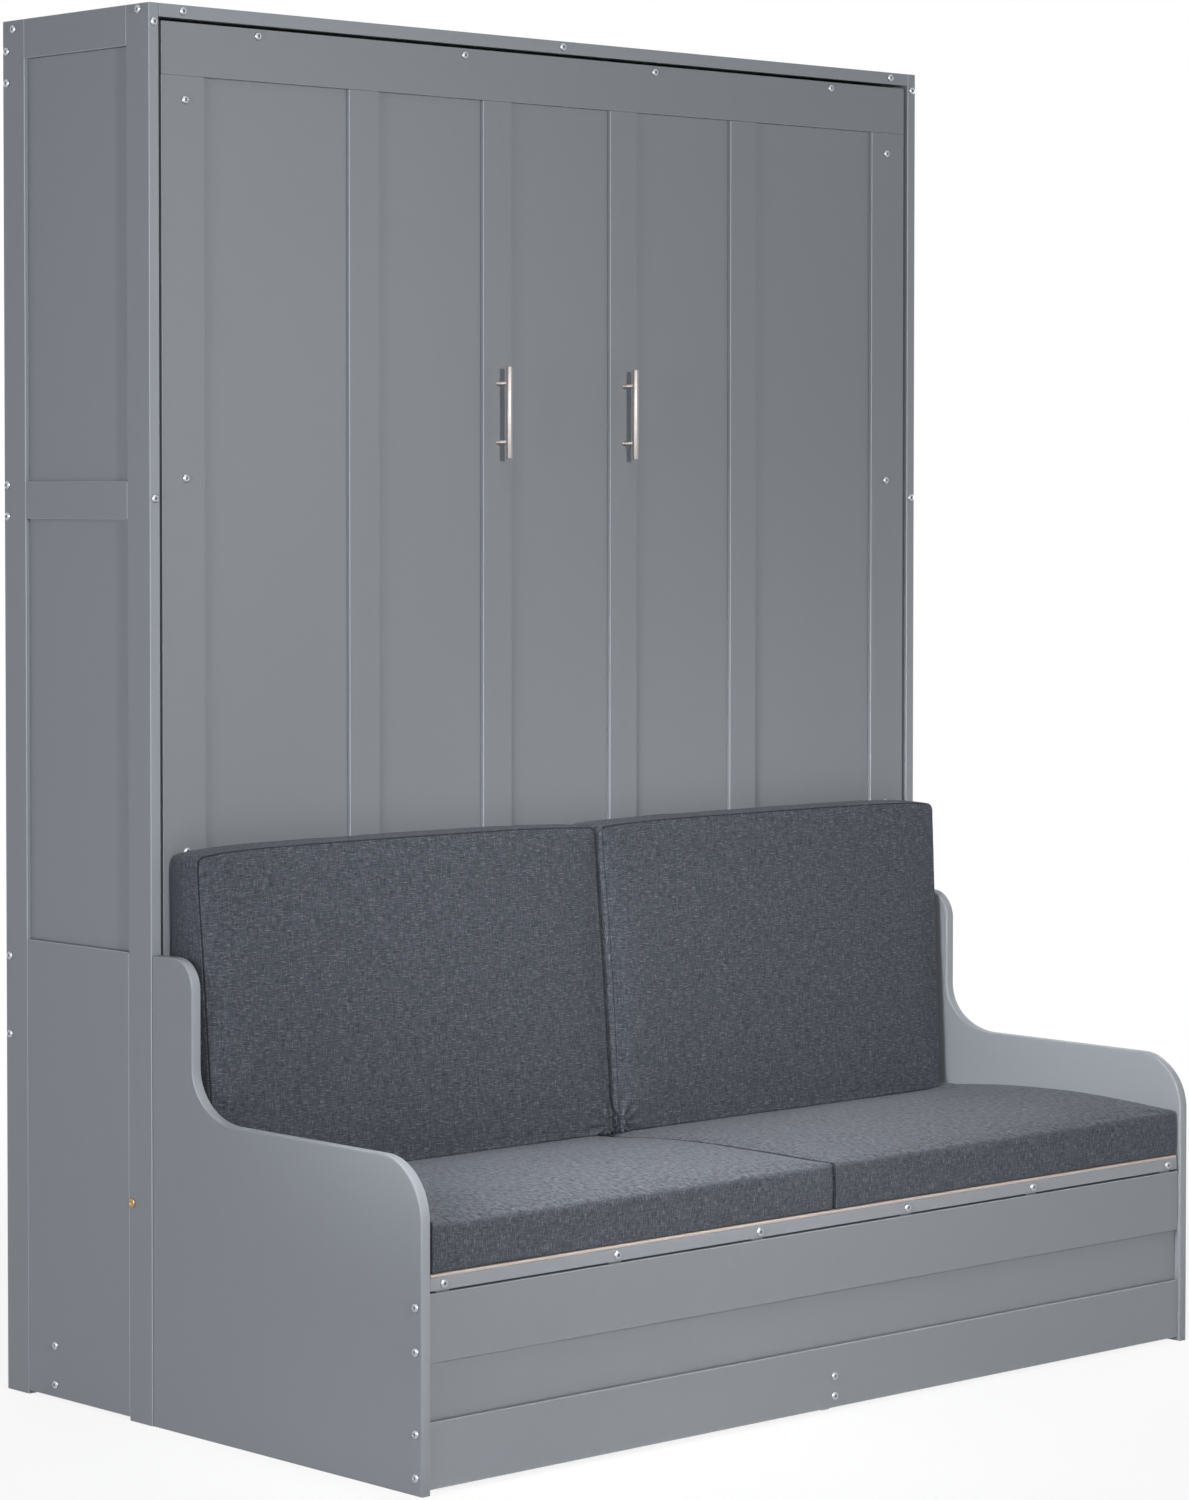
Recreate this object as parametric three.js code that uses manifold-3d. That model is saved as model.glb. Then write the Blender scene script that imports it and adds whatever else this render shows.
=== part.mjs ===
// Cabinet wall bed: a tall panelled cabinet whose door is the underside of a fold-down bed,
// with a two-seat sofa in front of it. Millimetres, +Z up, +X to the viewer's right.
// The origin is on the floor, at the centre of the whole piece. The model is laid out
// from the cabinet's front plane (y = 0, rearwards is +y) and then moved onto that origin.
import * as THREE from 'three';
import { mergeVertices } from 'three/addons/utils/BufferGeometryUtils.js';
import Module from 'manifold-3d';

// Whole piece
const cabinetWidth = 1700;
const cabinetHeight = 2180;
const cabinetDepth = 385;
const armReach = 636;
const board = 19;
const seating = 0.3;
const easedEdge = 1;
const overlapOfGlue = 0.5;

// Cabinet sides: frame and recessed panel above a plain lower board
const sideStileWidth = 58;
const sideTopRailHeight = 62;
const sideMidRailHeight = 59;
const sideRecess = 7;
const sidePanelThickness = 12;
const postHeight = 726;
const lowerBoardLift = 6;

// Cabinet rails
const topFrontRailDepth = 19;
const backTopRailGap = 7;
const backTopRailHeight = 92;
const backMidRailHeight = 94;
const backLowerRailHeight = 186;
const floorBoardHeight = 110;
const floorBoardSetback = 245;

// Door, which is the underside of the bed
const doorSideGap = 7;
const doorTopGap = 11;
const doorFloorGap = 80;
const doorSetback = 3;
const doorRailHeight = 77;
const outerStileWidth = 82;
const innerStileWidth = 62;
const outerPanelShare = 0.233;
const doorRecess = 6.5;

// Bed frame behind the door
const bedRailDepth = 158;
const mechanismGap = 42;
const ledgerWidth = 20;
const ledgerDepth = 24;
const slatFace = 78;
const slatThickness = 12;
const slatWidth = 72;
const slatCount = 13;
const strapWidth = 40;
const strapThickness = 2;
const centreBeamWidth = 38;

// Bar handles on the two middle stiles
const handleLength = 150;
const handleSpacing = 96;
const handleDiameter = 10;
const handlePostDiameter = 8;
const handleReach = 29;
const handleDrop = 585.5;

// Pivots of the bed
const pivotSetback = 50;
const loweredRest = 3;
const pivotShankDiameter = 10;
const pivotHeadDiameter = 14.4;
const pivotHeadHeight = 3;
const pivotCollarDiameter = 26;
const pivotBore = 8;
const runningGap = 0.3;

// Gas struts in the gap beside the bed
const strutAnchorInset = 55;
const strutAnchorRise = 561;
const strutFootSetback = 82;
const strutFootDrop = 200;
const strutDiameter = 22;
const strutTubeLength = 440;
const strutWall = 3;
const rodDiameter = 10;
const rodInsertion = 40;
const strutEyeDiameter = 20;
const strutEyeThickness = 9;
const strutPinDiameter = 9;
const strutNeckDiameter = 12;
const strutCrimp = 4;

// Legs at the foot of the bed that swing over its end
const legWidth = 32;
const legThickness = 19;
const legPivotSetback = 160;
const legPivotDrop = 30;
const legSplayDegrees = 20;
const legFloorGap = 1;
const legPivotBoltDiameter = 12;
const legPivotBoltHead = 4;

// Sofa arms: one S-shaped board on each side
const armThickness = 18;
const armInset = 1;
const armRestHeight = 483;
const postReach = 100;
const postRadius = 47;
const coveWidth = 102;
const coveHeight = 79;
const noseRadius = 90;
const armEdgeRadius = 2;
const armEdgeSegments = 2;

// Sofa base between the arms
const baseSetback = 4;
const frontRailTop = 289;
const frontRailHeight = 100;
const bottomRailTop = 104;
const bottomRailLift = 7;
const frontRecess = 6.5;
const rearBoardGap = 3;
const runnerHeight = 75;

// Seat deck that lifts out before the bed comes down
const padHeight = 3;
const padLength = 12;
const padWidth = 25;
const padSetback = 5;
const deckSideGap = 3;
const joistWidth = 50;
const joistShares = [0.2, 0.56];
const joistEndInset = 2;
const seatBoardThickness = 4.5;
const seatBoardSideGap = 4;

// Cushions
const seatCushionHeight = 64.5;
const seatFrontRise = 7;
const seatCushionCrown = 18;
const innerEndDroop = 0.7;
const seatCushionSideGap = 5;
const cushionMiddleGap = 2;
const seatCushionInset = 0.5;
const seatCushionRearGap = 3;
const seatCornerRadius = 9;
const seatCushionSegments = [14, 14, 4];
const backCushionRise = 509;
const backCushionSideGap = 10.5;
const backCushionJoint = 8;
const backCushionTopDepth = 73;
const backCushionBottomDepth = 123;
const backCushionCrown = 7;
const backCornerRadius = 9;
const backCushionSegments = [14, 4, 12];
const sideDrawIn = 1.5;

// Sizes that follow from the ones above
const halfWidth = cabinetWidth / 2;
const sideInner = halfWidth - board;
const armInner = halfWidth - armInset - armThickness;
const topPanelBottom = cabinetHeight - board;
const doorHalfWidth = sideInner - doorSideGap;
const doorTop = topPanelBottom - doorTopGap;
const doorBack = doorSetback + board;
const doorBottom = doorFloorGap;
const mattressLength = doorTop - doorBottom - 2 * board;
const sideMidRailCentre = (postHeight + cabinetHeight - sideTopRailHeight) / 2;
const bedRailOuter = sideInner - mechanismGap;
const bedRailInner = bedRailOuter - board;
const bedBack = doorBack + bedRailDepth;
const slatFront = slatFace - slatThickness;
const pivotHeight = frontRailTop + loweredRest + pivotSetback - doorSetback;
const backFace = cabinetDepth;
const backFront = cabinetDepth - board;
const legPivotHeight = doorTop - legPivotDrop;
const strutMiddle = (sideInner + bedRailOuter) / 2;
const innerPanels = 3;
const panelSpan = 2 * (doorHalfWidth - outerStileWidth) - (innerPanels + 1) * innerStileWidth;
const outerPanelWidth = panelSpan * outerPanelShare;
const innerPanelWidth = (panelSpan - 2 * outerPanelWidth) / innerPanels;
const curveSegments = 20;
const outlineSegments = 12;

const paint = new THREE.MeshStandardMaterial({ color: 0x83878b, roughness: 0.55, metalness: 0 });
const plywood = new THREE.MeshStandardMaterial({ color: 0xd3b48f, roughness: 0.7, metalness: 0 });
const slatWood = new THREE.MeshStandardMaterial({ color: 0xcdb08a, roughness: 0.7, metalness: 0 });
const fabric = new THREE.MeshStandardMaterial({ color: 0x5a5e66, roughness: 0.95, metalness: 0 });
const satinSteel = new THREE.MeshStandardMaterial({ color: 0xc9c7c3, roughness: 0.3, metalness: 1 });
const brass = new THREE.MeshStandardMaterial({ color: 0xb08d57, roughness: 0.35, metalness: 1 });
const blackSteel = new THREE.MeshStandardMaterial({ color: 0x26272a, roughness: 0.4, metalness: 0.6 });

const wasm = await Module();
wasm.setup();

// A closed three.js geometry as a solid that can be joined and cut.
function toSolid(geometry) {
  const bare = geometry.clone();
  bare.deleteAttribute('normal');
  bare.deleteAttribute('uv');
  const merged = mergeVertices(bare);
  const vertProperties = new Float32Array(merged.attributes.position.array);
  const triVerts = new Uint32Array(merged.index.array);
  return new wasm.Manifold(new wasm.Mesh({ numProp: 3, vertProperties, triVerts }));
}

// A solid back as a three.js geometry.
function toGeometry(solid) {
  const mesh = solid.getMesh();
  const geometry = new THREE.BufferGeometry();
  geometry.setAttribute('position', new THREE.BufferAttribute(new Float32Array(mesh.vertProperties), 3));
  geometry.setIndex(new THREE.BufferAttribute(new Uint32Array(mesh.triVerts), 1));
  geometry.computeVertexNormals();
  return geometry;
}

// Several overlapping geometries as one body.
function fuse(geometries) {
  const solids = geometries.map(toSolid);
  return toGeometry(solids.slice(1).reduce((whole, next) => whole.add(next), solids[0]));
}

function named(name, geometry, material) {
  const mesh = new THREE.Mesh(geometry, material);
  mesh.name = name;
  return mesh;
}

// The pair of x values from near the middle to the outside, on one side of the cabinet.
function span(side, near, far) {
  return side < 0 ? [-far, -near] : [near, far];
}

function sideName(side) {
  return side < 0 ? 'left' : 'right';
}

// A rectangle with its four corners cut back by the eased edge.
function easedRectangle(x, y, ease) {
  const shape = new THREE.Shape();
  shape.moveTo(x[0] + ease, y[0]);
  shape.lineTo(x[1] - ease, y[0]);
  shape.lineTo(x[1], y[0] + ease);
  shape.lineTo(x[1], y[1] - ease);
  shape.lineTo(x[1] - ease, y[1]);
  shape.lineTo(x[0] + ease, y[1]);
  shape.lineTo(x[0], y[1] - ease);
  shape.lineTo(x[0], y[0] + ease);
  shape.closePath();
  return shape;
}

// An outline given thickness, with both faces' edges eased inwards.
function easedExtrusion(shape, low, high, ease, bevelSegments = 1) {
  const geometry = new THREE.ExtrudeGeometry(shape, {
    depth: high - low - 2 * ease,
    bevelEnabled: true,
    bevelThickness: ease,
    bevelSize: ease,
    bevelOffset: -ease,
    bevelSegments,
    curveSegments: outlineSegments,
  });
  geometry.translate(0, 0, low + ease);
  return geometry;
}

// Turns an outline drawn in (y, z) and extruded in x into the cabinet's own directions.
const sidewaysBasis = new THREE.Matrix4().makeBasis(
  new THREE.Vector3(0, 1, 0),
  new THREE.Vector3(0, 0, 1),
  new THREE.Vector3(1, 0, 0),
);

function plankGeometry(x, y, z) {
  return easedExtrusion(easedRectangle(x, y, easedEdge), z[0], z[1], easedEdge);
}

// A straight board with eased edges; x, y and z are each [low, high].
function plank(name, material, x, y, z) {
  return named(name, plankGeometry(x, y, z), material);
}

// A board whose outline is drawn in (y, z) and whose thickness runs in x.
function sideBoard(name, material, shape, x, ease = easedEdge, bevelSegments = 1) {
  const geometry = easedExtrusion(shape, x[0], x[1], ease, bevelSegments);
  geometry.applyMatrix4(sidewaysBasis);
  return named(name, geometry, material);
}

function roundHole(y, z, radius) {
  const hole = new THREE.Path();
  hole.absarc(y, z, radius, 0, 2 * Math.PI, true);
  return hole;
}

// A round bar along x, y or z between two points on its axis.
function bar(diameter, from, to) {
  const start = new THREE.Vector3(...from);
  const end = new THREE.Vector3(...to);
  const length = start.distanceTo(end);
  const geometry = new THREE.CylinderGeometry(diameter / 2, diameter / 2, length, curveSegments);
  const turn = new THREE.Quaternion().setFromUnitVectors(
    new THREE.Vector3(0, 1, 0),
    end.clone().sub(start).normalize(),
  );
  geometry.applyQuaternion(turn);
  geometry.translate((start.x + end.x) / 2, (start.y + end.y) / 2, (start.z + end.z) / 2);
  return geometry;
}

// One side of the cabinet: two full-height stiles, rails, a recessed panel and a lower board.
function cabinetSide(side) {
  const name = sideName(side);
  const x = span(side, sideInner, halfWidth);
  const between = [sideStileWidth + seating, cabinetDepth - sideStileWidth - seating];
  const topRailBottom = cabinetHeight - sideTopRailHeight;
  const panelX = span(side, sideInner, sideInner + sidePanelThickness);
  const railX = span(side, halfWidth - sideRecess + seating, halfWidth);
  const frontStile = easedRectangle([0, sideStileWidth], [0, cabinetHeight], easedEdge);
  frontStile.holes.push(roundHole(pivotSetback, pivotHeight, pivotShankDiameter / 2 + runningGap));
  return [
    sideBoard(`${name}_front_stile`, paint, frontStile, x),
    plank(`${name}_rear_stile`, paint, x, [cabinetDepth - sideStileWidth, cabinetDepth], [0, cabinetHeight]),
    plank(`${name}_side_top_rail`, paint, x, between, [topRailBottom, cabinetHeight]),
    plank(`${name}_side_mid_rail`, paint, railX, between,
      [sideMidRailCentre - sideMidRailHeight / 2, sideMidRailCentre + sideMidRailHeight / 2]),
    plank(`${name}_side_panel`, paint, panelX, between, [postHeight + seating, topRailBottom - seating]),
    plank(`${name}_side_lower_board`, paint, x, between, [lowerBoardLift, postHeight]),
  ];
}

// The top, the cross rails of the open back and the board across the floor.
function cabinetCross() {
  const x = [-sideInner + seating, sideInner - seating];
  const back = [backFront, backFace];
  const floorY = [floorBoardSetback, floorBoardSetback + board];
  const topRailTop = topPanelBottom - backTopRailGap;
  const midRailBottom = sideMidRailCentre - backMidRailHeight / 2;
  return [
    plank('top_front_rail', paint, x, [0, topFrontRailDepth], [topPanelBottom, cabinetHeight]),
    plank('top_panel', paint, x, [topFrontRailDepth + seating, cabinetDepth], [topPanelBottom, cabinetHeight]),
    plank('back_rail_top', paint, x, back, [topRailTop - backTopRailHeight, topRailTop]),
    plank('back_rail_middle', paint, x, back, [midRailBottom, midRailBottom + backMidRailHeight]),
    plank('back_rail_lower', paint, x, back, [postHeight - backLowerRailHeight, postHeight]),
    plank('floor_cross_board', paint, x, floorY, [0, floorBoardHeight]),
  ];
}

// A stepped bolt on which the bed turns: outer head, shank through the stile, collar in the gap.
function pivotBolt(side) {
  const shank = pivotShankDiameter / 2;
  const head = pivotHeadDiameter / 2 + runningGap;
  const collar = pivotCollarDiameter / 2;
  const tip = bedRailOuter - pivotBore;
  const profile = [
    [0, tip],
    [shank, tip],
    [shank, bedRailOuter + seating],
    [collar, bedRailOuter + seating],
    [collar, sideInner - seating],
    [shank, sideInner - seating],
    [shank, halfWidth + seating],
    [head, halfWidth + seating],
    [head, halfWidth + pivotHeadHeight - easedEdge],
    [head - easedEdge, halfWidth + pivotHeadHeight],
    [0, halfWidth + pivotHeadHeight],
  ].map(([radius, x]) => new THREE.Vector2(radius, x));
  const mesh = named(`pivot_bolt_${sideName(side)}`, new THREE.LatheGeometry(profile, curveSegments), brass);
  mesh.rotation.z = -side * Math.PI / 2;
  mesh.position.set(0, pivotSetback, pivotHeight);
  return mesh;
}

// The door: two rails, six stiles and five recessed panels.
function door() {
  const y = [doorSetback, doorBack];
  const panelY = [doorSetback + doorRecess, doorBack];
  const low = doorBottom + doorRailHeight + seating;
  const high = doorTop - doorRailHeight - seating;
  const x = [-doorHalfWidth, doorHalfWidth];
  const pieces = [
    plank('door_top_rail', paint, x, y, [doorTop - doorRailHeight, doorTop]),
    plank('door_bottom_rail', paint, x, y, [doorBottom, doorBottom + doorRailHeight]),
  ];
  const panelWidths = [outerPanelWidth, innerPanelWidth, innerPanelWidth, innerPanelWidth, outerPanelWidth];
  const stileWidths = [outerStileWidth, ...panelWidths.slice(1).map(() => innerStileWidth), outerStileWidth];
  let left = -doorHalfWidth;
  stileWidths.forEach((width, index) => {
    pieces.push(plank(`door_stile_${index + 1}`, paint, [left, left + width], y, [low, high]));
    left += width;
    if (index < panelWidths.length) {
      const panelX = [left + seating, left + panelWidths[index] - seating];
      pieces.push(plank(`door_panel_${index + 1}`, paint, panelX, panelY, [low, high]));
      left += panelWidths[index];
    }
  });
  return pieces;
}

// One long rail of the bed with its slat ledger and the hole that turns on the pivot bolt.
function bedSideRail(side) {
  const x = span(side, bedRailInner, bedRailOuter);
  const shape = easedRectangle([doorBack + seating, bedBack], [doorBottom, doorTop], easedEdge);
  shape.holes.push(roundHole(pivotSetback, pivotHeight, pivotShankDiameter / 2 + 2 * runningGap));
  const rail = easedExtrusion(shape, x[0], x[1], easedEdge);
  rail.applyMatrix4(sidewaysBasis);
  const ledgerX = span(side, bedRailInner - ledgerWidth, bedRailInner + overlapOfGlue);
  const ledgerY = [slatFront - seating - ledgerDepth, slatFront - seating];
  const ledgerZ = [doorBottom + board + seating, doorTop - board - seating];
  const geometry = fuse([rail, plankGeometry(ledgerX, ledgerY, ledgerZ)]);
  return named(`bed_side_rail_${sideName(side)}`, geometry, paint);
}

// Slats held at even spacing by straps, as one roll.
function slatSet() {
  const halfLength = bedRailInner - seating;
  const low = doorBottom + board;
  const gap = (mattressLength - slatCount * slatWidth) / (slatCount + 1);
  const pieces = [];
  for (let index = 0; index < slatCount; index += 1) {
    const bottom = low + gap + index * (slatWidth + gap);
    pieces.push(plankGeometry([-halfLength, halfLength], [slatFront, slatFace], [bottom, bottom + slatWidth]));
  }
  const strapY = [slatFace - overlapOfGlue, slatFace + strapThickness - overlapOfGlue];
  const strapZ = [low + gap + easedEdge, low + mattressLength - gap - easedEdge];
  for (const middle of [-halfLength / 2, 0, halfLength / 2]) {
    const strap = new THREE.BoxGeometry(strapWidth, strapThickness, strapZ[1] - strapZ[0]);
    strap.translate(middle, (strapY[0] + strapY[1]) / 2, (strapZ[0] + strapZ[1]) / 2);
    pieces.push(strap);
  }
  return named('slat_set', fuse(pieces), slatWood);
}

// The rest of the bed frame: head and foot boards and the beam under the middle of the slats.
function bedFrame() {
  const x = [-bedRailInner + seating, bedRailInner - seating];
  const y = [doorBack + seating, bedBack];
  const half = centreBeamWidth / 2;
  const beamZ = [doorBottom + board + seating, doorTop - board - seating];
  return [
    bedSideRail(-1),
    bedSideRail(1),
    plank('bed_headboard', paint, x, y, [doorBottom, doorBottom + board]),
    plank('bed_footboard', paint, x, y, [doorTop - board, doorTop]),
    plank('bed_centre_beam', slatWood, [-half, half], [doorBack + seating, slatFront - seating], beamZ),
    slatSet(),
  ];
}

// A bar handle on two posts, centred on a middle stile.
function handle(side) {
  const x = side * (innerPanelWidth + innerStileWidth) / 2;
  const barY = doorSetback - handleReach;
  const height = doorTop - handleDrop;
  const low = height - handleLength / 2;
  const pieces = [bar(handleDiameter, [x, barY, low], [x, barY, low + handleLength])];
  for (const end of [-1, 1]) {
    const z = height + end * handleSpacing / 2;
    pieces.push(bar(handlePostDiameter, [x, barY, z], [x, doorSetback - seating, z]));
  }
  return named(`handle_${sideName(side)}`, fuse(pieces), satinSteel);
}

// Where a gas strut starts and ends, and how it leans, with the bed closed.
function strutLine() {
  const anchor = new THREE.Vector2(cabinetDepth - strutAnchorInset, pivotHeight + strutAnchorRise);
  const foot = new THREE.Vector2(pivotSetback + strutFootSetback, pivotHeight - strutFootDrop);
  const run = foot.clone().sub(anchor);
  return { anchor, foot, length: run.length(), lean: -Math.atan2(-run.x, -run.y) };
}

// The tube of a gas strut, hung from a pin in the cabinet side; the rod slides in its bore.
function strutCylinder(side) {
  const { anchor, lean } = strutLine();
  const outer = strutDiameter / 2;
  const bore = rodDiameter / 2 + runningGap;
  const well = outer - strutWall;
  const eye = strutEyeDiameter / 2;
  const rodRoom = strutWellTop();
  const profile = [
    [0, -eye + overlapOfGlue],
    [strutNeckDiameter / 2, -eye + overlapOfGlue],
    [strutNeckDiameter / 2, -eye - strutCrimp],
    [outer, -eye - 2 * strutCrimp],
    [outer, -strutTubeLength + strutCrimp],
    [outer - easedEdge, -strutTubeLength],
    [bore, -strutTubeLength],
    [bore, -strutTubeLength + 2 * strutCrimp],
    [well, -strutTubeLength + 3 * strutCrimp],
    [well, -rodRoom],
    [0, -rodRoom],
  ].map(([radius, along]) => new THREE.Vector2(radius, along)).reverse();
  const tube = new THREE.LatheGeometry(profile, curveSegments).rotateX(Math.PI / 2);
  const eyeDisc = bar(strutEyeDiameter, [-strutEyeThickness / 2, 0, 0], [strutEyeThickness / 2, 0, 0]);
  const pinEnd = side * (sideInner - seating - strutMiddle);
  const pin = bar(strutPinDiameter, [0, 0, 0], [pinEnd, 0, 0]);
  const mesh = named(`strut_cylinder_${sideName(side)}`, fuse([tube, eyeDisc, pin]), blackSteel);
  mesh.position.set(side * strutMiddle, anchor.x, anchor.y);
  mesh.rotation.x = lean;
  return mesh;
}

// The least distance from the strut's anchor to its foot, with the bed lowered.
function loweredStrutLength() {
  const { anchor } = strutLine();
  const foot = new THREE.Vector2(pivotSetback + strutFootDrop, pivotHeight + strutFootSetback);
  return foot.distanceTo(anchor);
}

function rodLength() {
  return strutLine().length - strutTubeLength + rodInsertion;
}

// How far from the anchor the tube's well ends: a little past the rod's deepest reach.
function strutWellTop() {
  return loweredStrutLength() - rodLength() - strutCrimp;
}

// The rod of a gas strut, on a stud that stands off the bed's side rail.
function strutRod(side) {
  const { foot, lean } = strutLine();
  const rod = bar(rodDiameter, [0, 0, 0], [0, 0, rodLength()]);
  const eyeDisc = bar(strutEyeDiameter, [-strutEyeThickness / 2, 0, 0], [strutEyeThickness / 2, 0, 0]);
  const studEnd = -side * (strutMiddle - bedRailOuter - seating);
  const stud = bar(strutPinDiameter, [0, 0, 0], [studEnd, 0, 0]);
  const mesh = named(`strut_rod_${sideName(side)}`, fuse([rod, eyeDisc, stud]), satinSteel);
  mesh.position.set(side * strutMiddle, foot.x, foot.y);
  mesh.rotation.x = lean;
  return mesh;
}

// A leg that hangs beside the bed's rail and swings over the foot end to stand on the floor.
function footLeg(side) {
  const half = legWidth / 2;
  const loweredHeight = pivotHeight + legPivotSetback - pivotSetback;
  const splay = THREE.MathUtils.degToRad(legSplayDegrees);
  const reach = (loweredHeight - half - legFloorGap) / Math.cos(splay);
  const bottom = legPivotHeight - reach;
  const shape = new THREE.Shape();
  shape.absarc(legPivotSetback, legPivotHeight, half, 0, Math.PI, false);
  shape.absarc(legPivotSetback, bottom, half, Math.PI, 2 * Math.PI, false);
  shape.closePath();
  const x = span(side, bedRailOuter + seating, bedRailOuter + seating + legThickness);
  const leg = easedExtrusion(shape, x[0], x[1], easedEdge);
  leg.applyMatrix4(sidewaysBasis);
  const inside = side * (bedRailOuter + legThickness - overlapOfGlue);
  const outside = side * (bedRailOuter + seating + legThickness + legPivotBoltHead);
  const head = bar(legPivotBoltDiameter, [inside, legPivotSetback, legPivotHeight],
    [outside, legPivotSetback, legPivotHeight]);
  return named(`foot_leg_${sideName(side)}`, fuse([leg, head]), paint);
}

// The S-shaped board: post against the cabinet, cove, level arm rest and rounded nose.
function arm(side) {
  const shape = new THREE.Shape();
  const noseCentre = [-(armReach - noseRadius), armRestHeight - noseRadius];
  const postCentre = [-(postReach - postRadius), postHeight - postRadius];
  shape.moveTo(-seating, 0);
  shape.lineTo(-seating, postHeight);
  shape.lineTo(postCentre[0], postHeight);
  shape.absarc(postCentre[0], postCentre[1], postRadius, Math.PI / 2, Math.PI, false);
  shape.lineTo(-postReach, armRestHeight + coveHeight);
  shape.absellipse(-(postReach + coveWidth), armRestHeight + coveHeight, coveWidth, coveHeight,
    0, -Math.PI / 2, true, 0);
  shape.lineTo(noseCentre[0], armRestHeight);
  shape.absarc(noseCentre[0], noseCentre[1], noseRadius, Math.PI / 2, Math.PI, false);
  shape.lineTo(-armReach, 0);
  shape.closePath();
  const x = span(side, armInner, armInner + armThickness);
  return sideBoard(`${sideName(side)}_arm`, paint, shape, x, armEdgeRadius, armEdgeSegments);
}

// The sofa's front rails and panel, its rear board and the runner that ties them at the floor.
function sofaBase() {
  const x = [-armInner + seating, armInner - seating];
  const front = -armReach + baseSetback;
  const y = [front, front + board];
  const railBottom = frontRailTop - frontRailHeight;
  const rear = -rearBoardGap;
  const runnerY = [front + board + seating, rear - board - seating];
  return [
    plank('sofa_front_top_rail', paint, x, y, [railBottom, frontRailTop]),
    plank('sofa_front_panel', paint, x, [front + frontRecess, front + board],
      [bottomRailTop + seating, railBottom - seating]),
    plank('sofa_front_bottom_rail', paint, x, y, [bottomRailLift, bottomRailTop]),
    plank('sofa_rear_board', paint, x, [rear - board, rear], [bottomRailLift, frontRailTop]),
    plank('sofa_floor_runner', paint, [-board / 2, board / 2], runnerY, [0, runnerHeight]),
  ];
}

// The lift-out seat deck: a ladder frame on rest pads, and the thin board on top of it.
function seatDeck() {
  const front = -armReach + baseSetback;
  const rear = -rearBoardGap;
  const half = armInner - deckSideGap;
  const bottom = frontRailTop + seating + padHeight;
  const z = [bottom, bottom + board];
  const offsets = [...joistShares.map((share) => share * half), half - joistEndInset - joistWidth / 2];
  const centres = [...offsets.map((offset) => -offset).reverse(), ...offsets];
  const pieces = [
    plankGeometry([-half, half], [front, front + board], z),
    plankGeometry([-half, half], [rear - board, rear], z),
  ];
  const joistY = [front + board - overlapOfGlue - easedEdge, rear - board + overlapOfGlue + easedEdge];
  for (const centre of centres) {
    pieces.push(plankGeometry([centre - joistWidth / 2, centre + joistWidth / 2], joistY, z));
  }
  const padTop = bottom + overlapOfGlue;
  for (const centre of centres) {
    for (const padFront of [front + padSetback, rear - padSetback - padLength]) {
      const pad = new THREE.BoxGeometry(padWidth, padLength, padTop - frontRailTop - seating);
      pad.translate(centre, padFront + padLength / 2, (padTop + frontRailTop + seating) / 2);
      pieces.push(pad);
    }
  }
  const boardX = [-armInner + seatBoardSideGap, armInner - seatBoardSideGap];
  const boardBottom = bottom + board + seating;
  return [
    named('seat_frame', fuse(pieces), paint),
    plank('seat_board', plywood, boardX, [front, rear], [boardBottom, boardBottom + seatBoardThickness]),
  ];
}

function seatCushionBottom() {
  return frontRailTop + padHeight + board + seatBoardThickness + 3 * seating;
}

// Spreads even steps so that more of them fall near both ends.
function crowdEnds(step) {
  return Math.sin(step * Math.PI / 2);
}

// A stuffed block: rounded edges, sides that draw in between the corners, and free faces
// that swell. The shape function then gives each point its last place.
function stuffedBlock(size, segments, radius, shapePoint) {
  const geometry = new THREE.BoxGeometry(2, 2, 2, ...segments);
  const half = size.map((length) => length / 2);
  const places = geometry.attributes.position;
  const point = new THREE.Vector3();
  for (let index = 0; index < places.count; index += 1) {
    const unit = [places.getX(index), places.getY(index), places.getZ(index)].map(crowdEnds);
    const at = unit.map((step, axis) => step * half[axis]);
    const core = at.map((value, axis) => THREE.MathUtils.clamp(value, radius - half[axis], half[axis] - radius));
    point.set(at[0] - core[0], at[1] - core[1], at[2] - core[2]);
    if (point.length() > 0) {
      point.setLength(Math.min(radius, Math.max(...point.toArray().map(Math.abs))));
    }
    const moved = shapePoint(core[0] + point.x, core[1] + point.y, core[2] + point.z, unit);
    places.setXYZ(index, ...moved);
  }
  geometry.deleteAttribute('normal');
  geometry.deleteAttribute('uv');
  const merged = mergeVertices(geometry);
  merged.computeVertexNormals();
  return merged;
}

// A bump that is full in the middle of a face and nothing at its ends.
function swell(step) {
  return 1 - step * step;
}

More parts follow.
